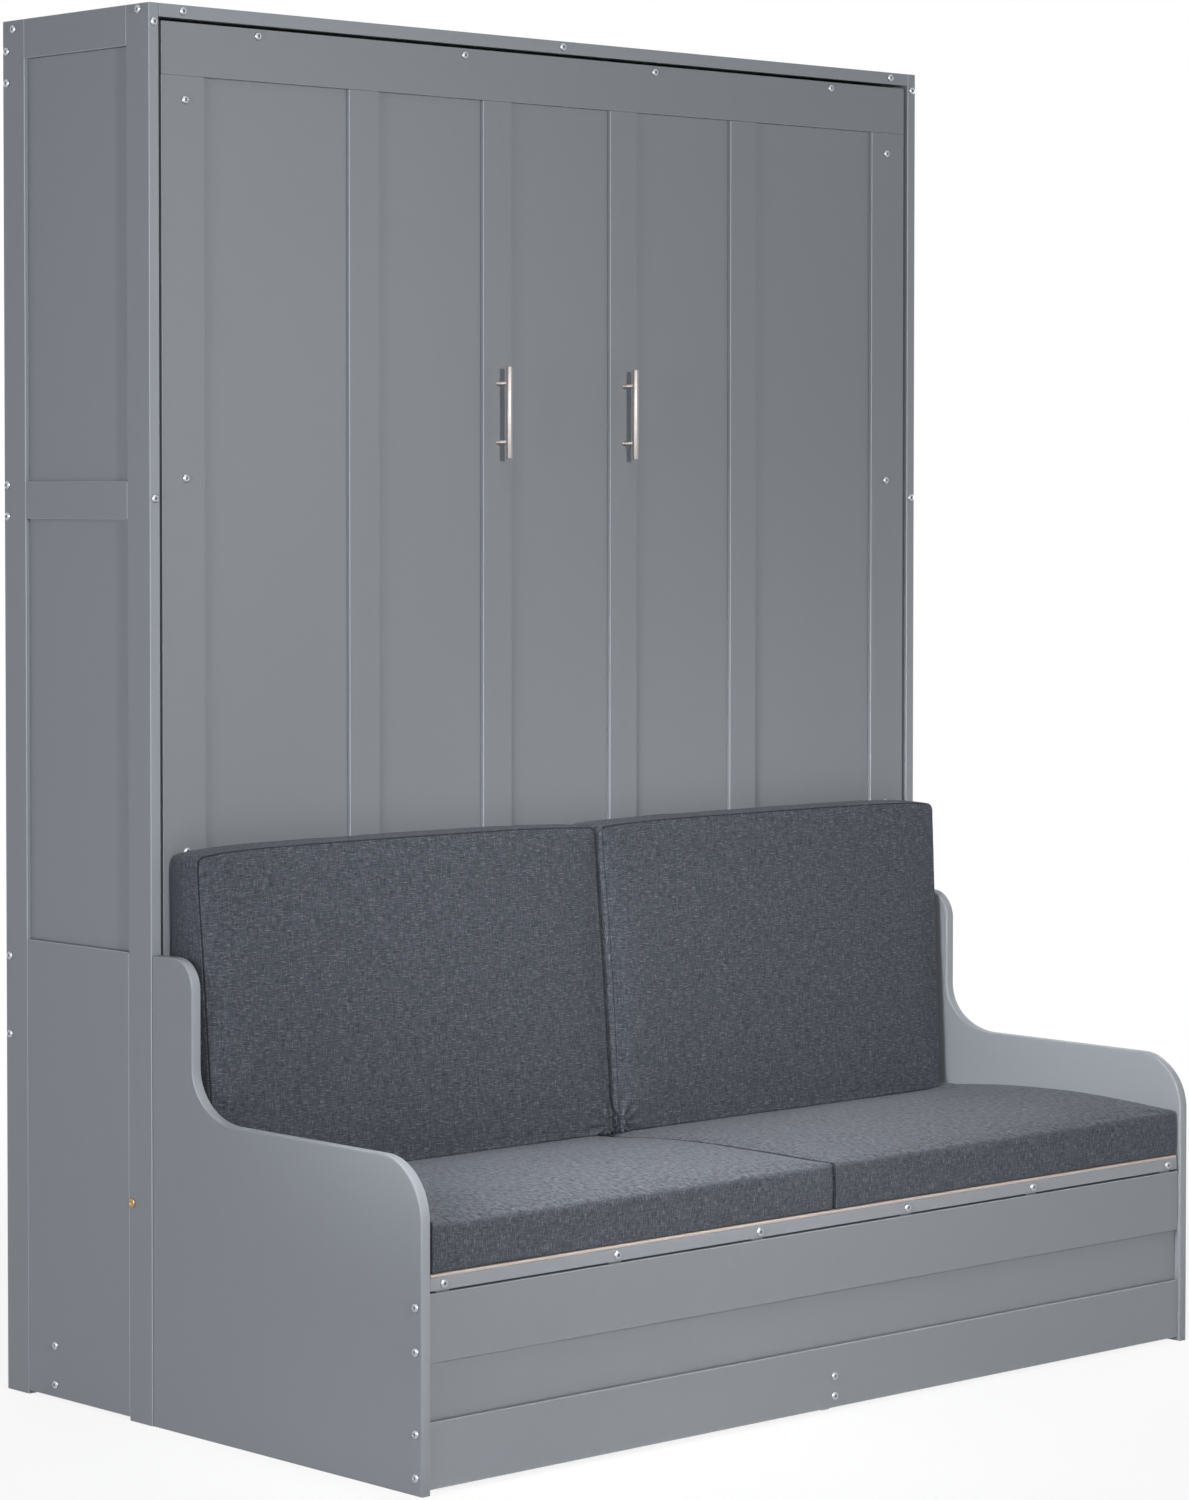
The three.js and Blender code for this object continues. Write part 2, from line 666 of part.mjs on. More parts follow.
// A seat cushion, level under the back cushion and crowned in front of it. Its inner end droops.
function seatCushion(side) {
  const x = span(side, cushionMiddleGap / 2, armInner - seatCushionSideGap);
  const front = -armReach + baseSetback + seatCushionInset;
  const rear = -rearBoardGap - seatCushionRearGap;
  const size = [x[1] - x[0], rear - front, seatCushionHeight];
  const middle = [(x[0] + x[1]) / 2, (front + rear) / 2, seatCushionBottom() + seatCushionHeight / 2];
  const crownRear = -backCushionBottomDepth - seatCornerRadius;
  const crownMiddle = (front + crownRear) / 2;
  const crownHalf = (crownRear - front) / 2;
  const geometry = stuffedBlock(size, seatCushionSegments, seatCornerRadius, (px, py, pz, unit) => {
    const across = THREE.MathUtils.clamp((middle[1] + py - crownMiddle) / crownHalf, -1, 1);
    const droop = 1 - innerEndDroop * ((1 - side * unit[0]) / 2) ** 4;
    const rise = seatFrontRise * (1 - across) / 2 + seatCushionCrown * droop * swell(across);
    const crown = unit[2] > 0 ? unit[2] * rise : 0;
    const sideDraw = unit[0] * sideDrawIn * swell(unit[1]);
    const frontDraw = unit[1] < 0 ? unit[1] * sideDrawIn * swell(unit[0]) : 0;
    return [px - sideDraw, py - frontDraw, pz + crown];
  });
  const mesh = named(`seat_cushion_${sideName(side)}`, geometry, fabric);
  mesh.position.set(...middle);
  return mesh;
}

// A back cushion that is thicker at the seat than at the top and crowned on its front. The left
// one is stuffed a little wider, so they meet to the right of the middle.
function backCushion(side) {
  const x = span(side, side * backCushionJoint + cushionMiddleGap / 2, armInner - backCushionSideGap);
  const bottom = seatCushionBottom() + seatCushionHeight + seating;
  const size = [x[1] - x[0], backCushionTopDepth, backCushionRise - backCushionCrown];
  const rear = -seating;
  const middle = [(x[0] + x[1]) / 2, rear - backCushionTopDepth / 2, bottom + size[2] / 2];
  const extra = backCushionBottomDepth - backCushionTopDepth - backCushionCrown / 2;
  const geometry = stuffedBlock(size, backCushionSegments, backCornerRadius, (px, py, pz, unit) => {
    const forward = (backCushionTopDepth / 2 - py) / backCushionTopDepth;
    const wedge = extra * (1 - unit[2]) / 2;
    const crown = backCushionCrown * swell(unit[0]) * swell(unit[2]);
    const topCrown = unit[2] > 0 ? unit[2] * backCushionCrown * swell(unit[0]) : 0;
    const sideDraw = unit[0] * sideDrawIn * swell(unit[2]);
    return [px - sideDraw, py - forward * (wedge + crown), pz + topCrown];
  });
  const mesh = named(`back_cushion_${sideName(side)}`, geometry, fabric);
  mesh.position.set(...middle);
  return mesh;
}

const layout = new THREE.Group();
layout.position.y = (armReach - cabinetDepth) / 2;
layout.add(...cabinetCross(), ...door(), ...bedFrame(), ...sofaBase(), ...seatDeck());
for (const side of [-1, 1]) {
  layout.add(...cabinetSide(side), arm(side), handle(side), pivotBolt(side));
  layout.add(strutCylinder(side), strutRod(side), footLeg(side));
  layout.add(seatCushion(side), backCushion(side));
}

const group = new THREE.Group();
group.add(layout);
export default group;
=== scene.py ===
"""Cabinet wall bed with a two-seat sofa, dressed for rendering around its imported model.

Metres, +Z up, +X to the viewer's right and +Y rearwards. Every piece stays in the model's own
frame, with its place in its mesh, and reads where it belongs from the model's boxes. Profiles of
turned forms and the places of screws are tables in millimetres.
"""
import logging
import math
from collections.abc import Callable, Iterable, Sequence
from dataclasses import dataclass
from enum import Enum
from typing import Any, Union

import bmesh
import bpy
import numpy as np
from mathutils import Matrix, Vector, noise


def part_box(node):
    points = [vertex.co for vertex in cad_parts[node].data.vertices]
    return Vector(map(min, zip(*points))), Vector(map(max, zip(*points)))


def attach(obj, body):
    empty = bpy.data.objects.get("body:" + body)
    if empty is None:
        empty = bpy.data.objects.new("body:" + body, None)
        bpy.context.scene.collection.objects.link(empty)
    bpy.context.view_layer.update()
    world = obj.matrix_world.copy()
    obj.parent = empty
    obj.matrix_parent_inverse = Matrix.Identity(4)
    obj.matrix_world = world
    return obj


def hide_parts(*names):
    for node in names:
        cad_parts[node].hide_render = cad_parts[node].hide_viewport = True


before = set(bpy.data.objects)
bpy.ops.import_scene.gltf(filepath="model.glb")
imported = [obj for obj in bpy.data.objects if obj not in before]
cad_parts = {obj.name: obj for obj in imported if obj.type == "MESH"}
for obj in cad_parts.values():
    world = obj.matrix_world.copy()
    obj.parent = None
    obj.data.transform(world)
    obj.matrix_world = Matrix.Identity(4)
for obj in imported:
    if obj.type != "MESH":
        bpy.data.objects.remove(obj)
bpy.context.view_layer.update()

LOG = logging.getLogger("wall_bed")
MM = 0.001
CLEARANCE = 0.3 * MM
CLOTH_FRAMES = 20
TOUCHING = 1e-9
Colour = tuple[float, float, float]
Triple = tuple[float, float, float]
Pair = tuple[float, float]
Profile = Sequence[Pair]
Operand = Union["Wire", float, Sequence[float]]


class Side(Enum):
    """The two sides of the object, as the sign of x."""

    LEFT = -1
    RIGHT = 1

    @property
    def word(self) -> str:
        """The side's name as the model's nodes spell it."""
        return self.name.lower()

    @property
    def outwards(self) -> "Facing":
        """The way that this side looks."""
        return Facing[self.name]

    def inner(self, node: str) -> float:
        """The x of a node's face that looks to the middle."""
        low, high = corners(node)
        return low.x if self is Side.RIGHT else high.x

    def outer(self, node: str) -> float:
        """The x of a node's face that looks away from the middle."""
        low, high = corners(node)
        return high.x if self is Side.RIGHT else low.x


class Facing(Enum):
    """Which way a face or a screw head looks."""

    FRONT = (0.0, -1.0, 0.0)
    REAR = (0.0, 1.0, 0.0)
    LEFT = (-1.0, 0.0, 0.0)
    RIGHT = (1.0, 0.0, 0.0)
    UP = (0.0, 0.0, 1.0)

    @property
    def way(self) -> Vector:
        """The direction as a vector."""
        return Vector(self.value)


class Slot(Enum):
    """The record's material slots, one passed along with each finished piece."""

    PAINT = "painted_wood"
    SLATS = "slat_wood"
    FABRIC = "cushion_fabric"
    STEEL = "satin_steel"
    BRASS = "brass"
    BLACK = "black_steel"


def screen_colour(*levels: int) -> Colour:
    """Turns a colour as a screen shows it into linear light.

    Args:
        levels: Red, green and blue, 0 to 255.

    Returns:
        The same colour in linear light, 0 to 1.
    """
    shares = (level / 255 for level in levels)
    return tuple(s / 12.92 if s <= 0.04045 else ((s + 0.055) / 1.055) ** 2.4 for s in shares)


def shaded(colour: Colour, share: float) -> Colour:
    """A colour made darker or lighter by one share."""
    return tuple(level * share for level in colour)


def corners(node: str) -> tuple[Vector, Vector]:
    """The lowest and highest corner of a node of the model."""
    low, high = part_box(node)
    return Vector(low), Vector(high)


def circle(count: int) -> list[float]:
    """Angles all the way round."""
    return [2 * math.pi * step / count for step in range(count)]


def arc(y: float, z: float, radii: Pair, angles: Pair, steps: int) -> list[Pair]:
    """Points along a part of an ellipse.

    Args:
        y: Its centre's y.
        z: Its centre's z.
        radii: Its radii along y and z.
        angles: Where it starts and ends, in degrees.
        steps: How many points it has.

    Returns:
        The points in (y, z).
    """
    turns = np.radians(np.linspace(*angles, steps))
    return [(y + radii[0] * math.cos(turn), z + radii[1] * math.sin(turn)) for turn in turns]


def rows(values: bpy.types.bpy_prop_collection, name: str) -> np.ndarray:
    """One vector for each point of a mesh, a row each."""
    read = np.empty(len(values) * 3)
    values.foreach_get(name, read)
    return read.reshape(-1, 3)


def linked(name: str, data: bpy.types.ID) -> bpy.types.Object:
    """Puts a new object with this data into the scene."""
    made = bpy.data.objects.new(name, data)
    bpy.context.scene.collection.objects.link(made)
    return made


def settled_mesh(piece: bpy.types.Object) -> None:
    """Turns a piece's modifiers into plain mesh and takes them off."""
    view = bpy.context.evaluated_depsgraph_get()
    made = bpy.data.meshes.new_from_object(piece.evaluated_get(view))
    made.name = piece.data.name
    piece.modifiers.clear()
    piece.data = made


def fasten(piece: bpy.types.Object, body: str, slot: Slot, *nodes: str) -> bpy.types.Object:
    """Sets a finished piece on the body it rides on and hides the nodes it stands for.

    Args:
        piece: The finished piece.
        body: The body it moves with.
        slot: Its material slot; not used.
        nodes: The model's nodes that it replaces.

    Returns:
        The same piece.
    """
    if nodes:
        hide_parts(*nodes)
    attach(piece, body)
    LOG.info("%s rides on %s", piece.name, body)
    return piece


def operator(operation: str, swapped: bool = False) -> Callable[..., "Wire"]:
    """Makes the method behind one of Wire's operators.

    Args:
        operation: The Math or Vector Math operation.
        swapped: Whether the wire stands right of the operator.

    Returns:
        The method.
    """
    def reckon(wire: "Wire", other: Operand = 0.0) -> "Wire":
        """Adds the operation's node."""
        terms = (other, wire) if swapped else (wire, other)
        vector = any(isinstance(term, Wire) and term.socket.type == "VECTOR" for term in terms)
        kind = "ShaderNodeVectorMath" if vector else "ShaderNodeMath"
        return wire.graph.node(kind, {"operation": operation}, dict(enumerate(terms)))

    return reckon


class Wire:
    """One output of a node, which Python expressions can reckon with."""

    def __init__(self, graph: "NodeGraph", socket: bpy.types.NodeSocket | None) -> None:
        self.graph = graph
        self.socket = socket

    __add__ = operator("ADD")
    __radd__ = operator("ADD", swapped=True)
    __sub__ = operator("SUBTRACT")
    __rsub__ = operator("SUBTRACT", swapped=True)
    __mul__ = operator("MULTIPLY")
    __rmul__ = operator("MULTIPLY", swapped=True)
    __abs__ = operator("ABSOLUTE")
    sine = operator("SINE")
    larger = operator("MAXIMUM")

    def between(self, low: float, high: float) -> "Wire":
        """Goes smoothly from 0 at low to 1 at high."""
        limits = {"Value": self, "From Min": low, "From Max": high}
        return self.graph.node("ShaderNodeMapRange", {"interpolation_type": "SMOOTHSTEP"}, limits)


class NodeGraph:
    """A node tree of any kind, with one method that adds a node to it."""

    def __init__(self, tree: bpy.types.NodeTree) -> None:
        self.tree = tree

    @classmethod
    def emptied(cls, owner: bpy.types.Material | bpy.types.World) -> "NodeGraph":
        """The empty node tree of a new material or world."""
        owner.use_nodes = True
        owner.node_tree.nodes.clear()
        return cls(owner.node_tree)

    def node(
        self,
        kind: str,
        settings: dict[str, Any] | None = None,
        inputs: dict[str | int, Any] | None = None,
        output: str | int = 0,
    ) -> Wire:
        """Adds one node.

        Args:
            kind: The node's type.
            settings: Its settings, set before its sockets.
            inputs: A value or a wire for each socket that isn't left as it is.
            output: The output that is wanted.

        Returns:
            That output as a wire.
        """
        made = self.tree.nodes.new(kind)
        for name, value in (settings or {}).items():
            setattr(made, name, value)
        for key, value in (inputs or {}).items():
            socket = made.inputs[key]
            if isinstance(value, Wire):
                self.tree.links.new(value.socket, socket)
            else:
                socket.default_value = self._fitted(socket, value)
        return Wire(self, made.outputs[output] if made.outputs else None)

    @staticmethod
    def _fitted(socket: bpy.types.NodeSocket, value: Any) -> Any:
        """A value in the form that a socket takes."""
        if socket.type == "RGBA" and len(value) == 3:
            return (*value, 1.0)
        if socket.type == "VECTOR" and isinstance(value, (int, float)):
            return (value, value, value)
        return value

    def mixed(self, first: Operand, second: Operand, share: Operand) -> Wire:
        """Goes from one colour, at share 0, to another, at share 1."""
        settings = {"data_type": "RGBA", "clamp_factor": True}
        return self.node("ShaderNodeMix", settings, {0: share, 6: first, 7: second}, 2)

    def noise(
        self, place: Wire, scale: float | Triple, detail: float = 2.0, rough: float = 0.5
    ) -> Wire:
        """Noise from 0 to 1 about 0.5.

        Args:
            place: Where it is read.
            scale: Its blobs in a metre of place, as one number or one for each axis.
            detail: How many finer layers it has.
            rough: How strong those layers are.

        Returns:
            The noise value.
        """
        if isinstance(scale, tuple):
            place, scale = self.stretched(place, scale), 1.0
        inputs = {"Vector": place, "Scale": scale, "Detail": detail, "Roughness": rough}
        return self.node("ShaderNodeTexNoise", {"noise_dimensions": "3D"}, inputs)

    def stretched(self, place: Wire, scale: Triple) -> Wire:
        """A place stretched along its axes."""
        inputs = {"Vector": place, "Scale": scale}
        return self.node("ShaderNodeMapping", {"vector_type": "POINT"}, inputs)

    def coordinate(self, kind: str = "Object") -> Wire:
        """One of the texture coordinates: where a point is on its piece, or how it faces."""
        return self.node("ShaderNodeTexCoord", {}, {}, kind)

    def attribute(self, name: str) -> Wire:
        """A number that the mesh carries."""
        return self.node("ShaderNodeAttribute", {"attribute_name": name}, {}, "Fac")

    def parts(self, vector: Wire) -> tuple[Wire, Wire, Wire]:
        """The three parts of a vector."""
        split = self.node("ShaderNodeSeparateXYZ", {}, {0: vector}).socket.node
        return tuple(Wire(self, split.outputs[index]) for index in range(3))

    def bump(self, height: Wire, depth: float) -> Wire:
        """A normal from a height, 0 to 1, and how deep 1 is."""
        inputs = {"Height": height, "Distance": depth, "Strength": 1.0}
        return self.node("ShaderNodeBump", {}, inputs)

    def seen(self) -> Wire:
        """1 for rays from the camera, a mirror or glass, and 0 for the light on the object."""
        paths = self.node("ShaderNodeLightPath").socket.node
        kinds = ("Camera", "Glossy", "Transmission")
        first, second, third = (Wire(self, paths.outputs[f"Is {kind} Ray"]) for kind in kinds)
        return first.larger(second).larger(third)


@dataclass(frozen=True)
class Finish:
    """A surface finish, made into a material the first time it is asked for."""

    name: str
    colour: Colour
    roughness: float

    def material(self) -> bpy.types.Material:
        """The finish's material.

        Returns:
            The material, the same one each time.
        """
        known = bpy.data.materials.get(self.name)
        if known is not None:
            return known
        made = bpy.data.materials.new(self.name)
        made.diffuse_color = (*self.colour, 1.0)
        graph = NodeGraph.emptied(made)
        surface = graph.node("ShaderNodeBsdfPrincipled", {}, self.dress(graph))
        graph.node("ShaderNodeOutputMaterial", {}, {"Surface": surface})
        return made

    def dress(self, graph: NodeGraph) -> dict[str, Any]:
        """What goes into the shader's sockets.

        Args:
            graph: Where the nodes go.

        Returns:
            A value or a wire for each socket.
        """
        raise NotImplementedError

    def tones(self, graph: NodeGraph, share: Operand, swing: float) -> Wire:
        """The finish's colour, from one swing darker at share 0 to one swing lighter at 1."""
        return graph.mixed(shaded(self.colour, 1 - swing), shaded(self.colour, 1 + swing), share)


@dataclass(frozen=True)
class SatinPaint(Finish):
    """Sprayed satin paint: faint clouding, orange peel, worn edges with painted highlight, painted
    light on board ends.
    """

    edge_lift: float = 0.0
    end_lift: float = 0.0
    swing: float = 0.035
    relief: float = 0.16 * MM

    def dress(self, graph: NodeGraph) -> dict[str, Any]:
        """What goes into the shader's sockets.

        Args:
            graph: Where the nodes go.

        Returns:
            A value or a wire for each socket.
        """
        place = graph.coordinate()
        cloud = graph.noise(place, 2.6, 3.0)
        speckle = graph.noise(place, 520.0, 2.0, 0.6)
        peel = graph.noise(place, 230.0)
        fibre = graph.noise(place, (260.0, 260.0, 9.0))
        share = cloud * 0.55 + speckle * 0.3 + fibre * 0.25 - 0.05
        colour = self.tones(graph, share, self.swing)
        across, along, up = graph.parts(abs(graph.coordinate("Normal")))
        # Painted light: faces that don't look along x (board ends, front edges, arm rims) painted
        # lighter for the light they catch.
        if self.end_lift:
            end = (1.0 - across.between(0.5, 0.8)) * (0.9 + 0.2 * cloud)
            colour = graph.mixed(colour, shaded(self.colour, 1 + self.end_lift), end)
        # Painted highlight: eased edges painted lighter in patches, partly worn paint, partly the
        # light that edges catch.
        if self.edge_lift:
            edge = (1.0 - across.larger(along).larger(up)).between(0.04, 0.2)
            worn_and_highlit_edge = edge * (0.55 + 0.9 * graph.noise(place, 46.0, 3.0))
            colour = graph.mixed(colour, shaded(self.colour, 1 + self.edge_lift), worn_and_highlit_edge)
        return {
            "Base Color": colour,
            "Roughness": self.roughness + (cloud - 0.5) * 0.12 + (speckle - 0.5) * 0.1,
            "Specular IOR Level": 0.42,
            "Normal": graph.bump(peel * 0.7 + speckle * 0.2 + fibre * 0.25, self.relief),
        }


@dataclass(frozen=True)
class LinenWeave(Finish):
    """Heathered linen-look cloth: slubby warp and weft in two greys with light flecks, painted shade
    on seams, painted sheen on tops.
    """

    light: Colour = (0.3, 0.3, 0.3)
    fleck: Colour = (0.5, 0.5, 0.5)
    pitch: float = 1.25 * MM
    slub: Pair = (14.0 * MM, 1.3 * MM)
    dash: Pair = (15.0 * MM, 1.4 * MM)
    heather: Pair = (30.0 * MM, 4.2 * MM)
    melange: float = 9.0 * MM
    stitch: Pair = (1.1 * MM, 2.3 * MM)
    relief: float = 0.5 * MM

    @staticmethod
    def _crossed(graph: NodeGraph, cloth: Wire, size: Pair, low: float, high: float) -> list[Wire]:
        """Streaks along the weft and along the warp.

        Args:
            graph: Where the nodes go.
            cloth: The place on the flat cloth.
            size: How long and how wide a streak is.
            low: The noise level at which a streak starts to show.
            high: The level at which it shows in full.

        Returns:
            The weft's streaks and the warp's, from 0 to 1.
        """
        long, wide = (1 / length for length in size)
        streaks = [graph.noise(cloth, scale, 1.0) for scale in ((long, wide, 1.0), (wide, long, 1.0))]
        return streaks + [streak.between(low, high) for streak in streaks]

    def dress(self, graph: NodeGraph) -> dict[str, Any]:
        """What goes into the shader's sockets.

        Args:
            graph: Where the nodes go.

        Returns:
            A value or a wire for each socket.
        """
        cloth = graph.node("ShaderNodeUVMap", {"uv_map": "cloth"})
        warp_wave, weft_wave = (
            (part * (math.pi / self.pitch)).sine() for part in graph.parts(cloth)[:2]
        )
        over = (warp_wave * weft_wave).between(-0.35, 0.35)
        weft, warp, weft_slub, warp_slub = self._crossed(graph, cloth, self.slub, 0.36, 0.64)
        _, _, wide_weft, wide_warp = self._crossed(graph, cloth, self.heather, 0.35, 0.65)
        _, _, weft_dash, warp_dash = self._crossed(graph, cloth, self.dash, 0.6, 0.68)
        tone = weft_slub * 0.38 + warp_slub * 0.24 + over * 0.08
        tone = tone + graph.noise(cloth, 14.0, 4.0, 0.6) * 0.06 + wide_weft * 0.1 + wide_warp * 0.14
        # Painted sheen: a coarse light and dark mottle only on upward faces, for the sheen they show.
        up = graph.parts(graph.coordinate("Normal"))[2]
        top_sheen_mottle = graph.noise(cloth, 1 / self.melange, 2.0, 0.6).between(0.3, 0.7) - 0.5
        tone = tone + up.between(0.6, 0.9) * top_sheen_mottle * 0.62
        body = graph.mixed(self.colour, self.light, tone)
        body = graph.mixed(body, self.fleck, weft_dash.larger(warp_dash * 0.7) * 0.4)
        # Painted shade: the cloth darkened along each seam, a thin dark line for the shade in the
        # seam's groove.
        seam_shade = 1.0 - graph.attribute("seam").between(*self.stitch)
        weave = abs(warp_wave) * (1.0 - over) + abs(weft_wave) * over
        return {
            "Base Color": graph.mixed(body, shaded(self.colour, 0.2), seam_shade * 0.75),
            "Roughness": self.roughness + (weft - 0.5) * 0.2,
            "Specular IOR Level": 0.18,
            "Sheen Weight": 0.12,
            "Sheen Roughness": 0.45,
            "Sheen Tint": (0.78, 0.81, 0.88),
            "Normal": graph.bump(weave * 0.4 + weft * 0.6 + warp * 0.5, self.relief),
        }


@dataclass(frozen=True)
class RawPlywood(Finish):
    """Unpainted plywood: a pale face veneer with long grain, and darker outer plies on its edges, the
    lower one also painted shade.
    """

    core: Colour = (0.3, 0.2, 0.12)
    swing: float = 0.12
    relief: float = 0.18 * MM

    def dress(self, graph: NodeGraph) -> dict[str, Any]:
        """What goes into the shader's sockets.

        Args:
            graph: Where the nodes go.

        Returns:
            A value or a wire for each socket.
        """
        place = graph.coordinate()
        grain = graph.noise(place, (3.0, 90.0, 90.0), 4.0, 0.6)
        pores = graph.noise(place, (26.0, 900.0, 900.0))
        up = graph.parts(graph.coordinate("Generated"))[2]
        # Outer plies on the edges darker: ply lines, and at the lower edge also painted shade for the
        # gap under the board.
        outer = abs(up - 0.5).between(0.3, 0.42)
        edge = 1.0 - graph.parts(abs(graph.coordinate("Normal")))[2].between(0.4, 0.8)
        face = self.tones(graph, grain * 0.8 + pores * 0.2, self.swing)
        return {
            "Base Color": graph.mixed(face, self.core, edge * outer * 0.8),
            "Roughness": self.roughness + (pores - 0.5) * 0.2,
            "Normal": graph.bump(pores, self.relief),
        }


@dataclass(frozen=True)
class PlanedWood(Finish):
    """Planed softwood with grain along x or z."""

    grain: Triple = (4.0, 60.0, 60.0)
    rings: float = 34.0
    swing: float = 0.2
    relief: float = 0.15 * MM

    def dress(self, graph: NodeGraph) -> dict[str, Any]:
        """What goes into the shader's sockets.

        Args:
            graph: Where the nodes go.

        Returns:
            A value or a wire for each socket.
        """
        place = graph.stretched(graph.coordinate(), self.grain)
        rings = (graph.noise(place, 1.0, 4.0, 0.62) * self.rings).sine() * 0.5 + 0.5
        fibre = graph.noise(place, (4.0, 11.0, 11.0))
        return {
            "Base Color": self.tones(graph, rings * 0.5 + fibre * 0.5, self.swing),
            "Roughness": self.roughness + (fibre - 0.5) * 0.25,
            "Normal": graph.bump(fibre, self.relief),
        }


@dataclass(frozen=True)
class StrapWebbing(Finish):
    """Flat woven strap that holds the slats, ribbed across its length."""

    rib: float = 2.2 * MM
    swing: float = 0.22
    relief: float = 0.5 * MM

    def dress(self, graph: NodeGraph) -> dict[str, Any]:
        """What goes into the shader's sockets.

        Args:
            graph: Where the nodes go.

        Returns:
            A value or a wire for each socket.
        """
        place = graph.coordinate()
        across, _, up = graph.parts(place)
        ribs = (up * (2 * math.pi / self.rib)).sine() * 0.5 + 0.5
        cords = (across * (math.pi / self.rib)).sine() * 0.5 + 0.5
        wear = graph.noise(place, 60.0, 3.0)
        return {
            "Base Color": self.tones(graph, ribs * 0.5 + wear * 0.5, self.swing),
            "Roughness": self.roughness,
            "Normal": graph.bump(ribs * 0.6 + cords * 0.4, self.relief),
        }


@dataclass(frozen=True)
class TurnedMetal(Finish):
    """Metal with fine tool or brush marks: steel, brass or nickel, with painted shade in screw sockets
    and screw roots.
    """

    marks: Triple = (900.0, 900.0, 900.0)
    marking: float = 0.16
    recessed: bool = False
    swing: float = 0.09
    relief: float = 0.03 * MM

    def dress(self, graph: NodeGraph) -> dict[str, Any]:
        """What goes into the shader's sockets.

        Args:
            graph: Where the nodes go.

        Returns:
            A value or a wire for each socket.
        """
        place = graph.coordinate()
        brushed = graph.noise(place, self.marks, 3.0, 0.6)
        haze = graph.noise(place, 35.0, 3.0)
        colour = self.tones(graph, haze * 0.4 + brushed * 0.6, self.swing)
        # Painted shade: the screw's hex socket and the ring where it meets the board are darkened.
        if self.recessed:
            colour = graph.mixed(colour, shaded(self.colour, 0.45), graph.attribute("recess"))
        return {
            "Base Color": colour,
            "Metallic": 1.0,
            "Roughness": self.roughness + (brushed - 0.5) * self.marking + (haze - 0.5) * 0.08,
            "Normal": graph.bump(brushed, self.relief),
        }


@dataclass(frozen=True)
class Enamel(Finish):
    """Baked black enamel on steel."""

    swing: float = 0.3
    relief: float = 0.12 * MM

    def dress(self, graph: NodeGraph) -> dict[str, Any]:
        """What goes into the shader's sockets.

        Args:
            graph: Where the nodes go.

        Returns:
            A value or a wire for each socket.
        """
        place = graph.coordinate()
        dust = graph.noise(place, 24.0, 4.0)
        return {
            "Base Color": self.tones(graph, dust, self.swing),
            "Roughness": self.roughness + (dust - 0.5) * 0.2,
            "Normal": graph.bump(graph.noise(place, 420.0), self.relief),
        }


GREY = screen_colour(131, 135, 140)
# Its eased edges carry worn paint and a painted highlight.
PAINT = SatinPaint("paint_satin_grey", GREY, 0.38, edge_lift=0.5)
# Lit copies of the paint: their board ends and rims carry painted light.
PAINT_LIT_ENDS = SatinPaint("paint_satin_grey_ends", GREY, 0.38, edge_lift=0.5, end_lift=0.22)
CURVED_PAINT_LIT_RIMS = SatinPaint("paint_satin_grey_curved", GREY, 0.38, end_lift=0.34)
CLOTH = LinenWeave(
    "linen_slate_heather", screen_colour(40, 43, 50), 0.92,
    light=screen_colour(93, 97, 105), fleck=screen_colour(148, 151, 159),
)
PLYWOOD = RawPlywood(
    "plywood_raw_edge", screen_colour(190, 176, 169), 0.68, core=screen_colour(140, 100, 80)
)
SLAT = PlanedWood("pine_planed_slat", screen_colour(205, 174, 132), 0.6)
BEAM = PlanedWood("pine_planed_beam", screen_colour(200, 168, 126), 0.6, (60.0, 60.0, 4.0))
STRAP = StrapWebbing("strap_webbing_white", screen_colour(206, 204, 198), 0.85)
STEEL = TurnedMetal("steel_satin_bar", screen_colour(171, 164, 160), 0.44, (700.0, 700.0, 30.0), 0.05)
CHROME = TurnedMetal("steel_rod_bright", screen_colour(222, 222, 224), 0.14)
NICKEL = TurnedMetal("nickel_screw", screen_colour(178, 181, 187), 0.36, (700.0,) * 3, 0.1, True)
BRASS = TurnedMetal("brass_bolt", screen_colour(176, 150, 110), 0.34)
BLACK = Enamel("enamel_black", screen_colour(38, 39, 42), 0.38)
NODE_FINISHES = {
    "seat_board": PLYWOOD,
    "bed_centre_beam": BEAM,
    "left_front_stile": PAINT_LIT_ENDS,
    "right_front_stile": PAINT_LIT_ENDS,
    "seat_frame": PAINT_LIT_ENDS,
}


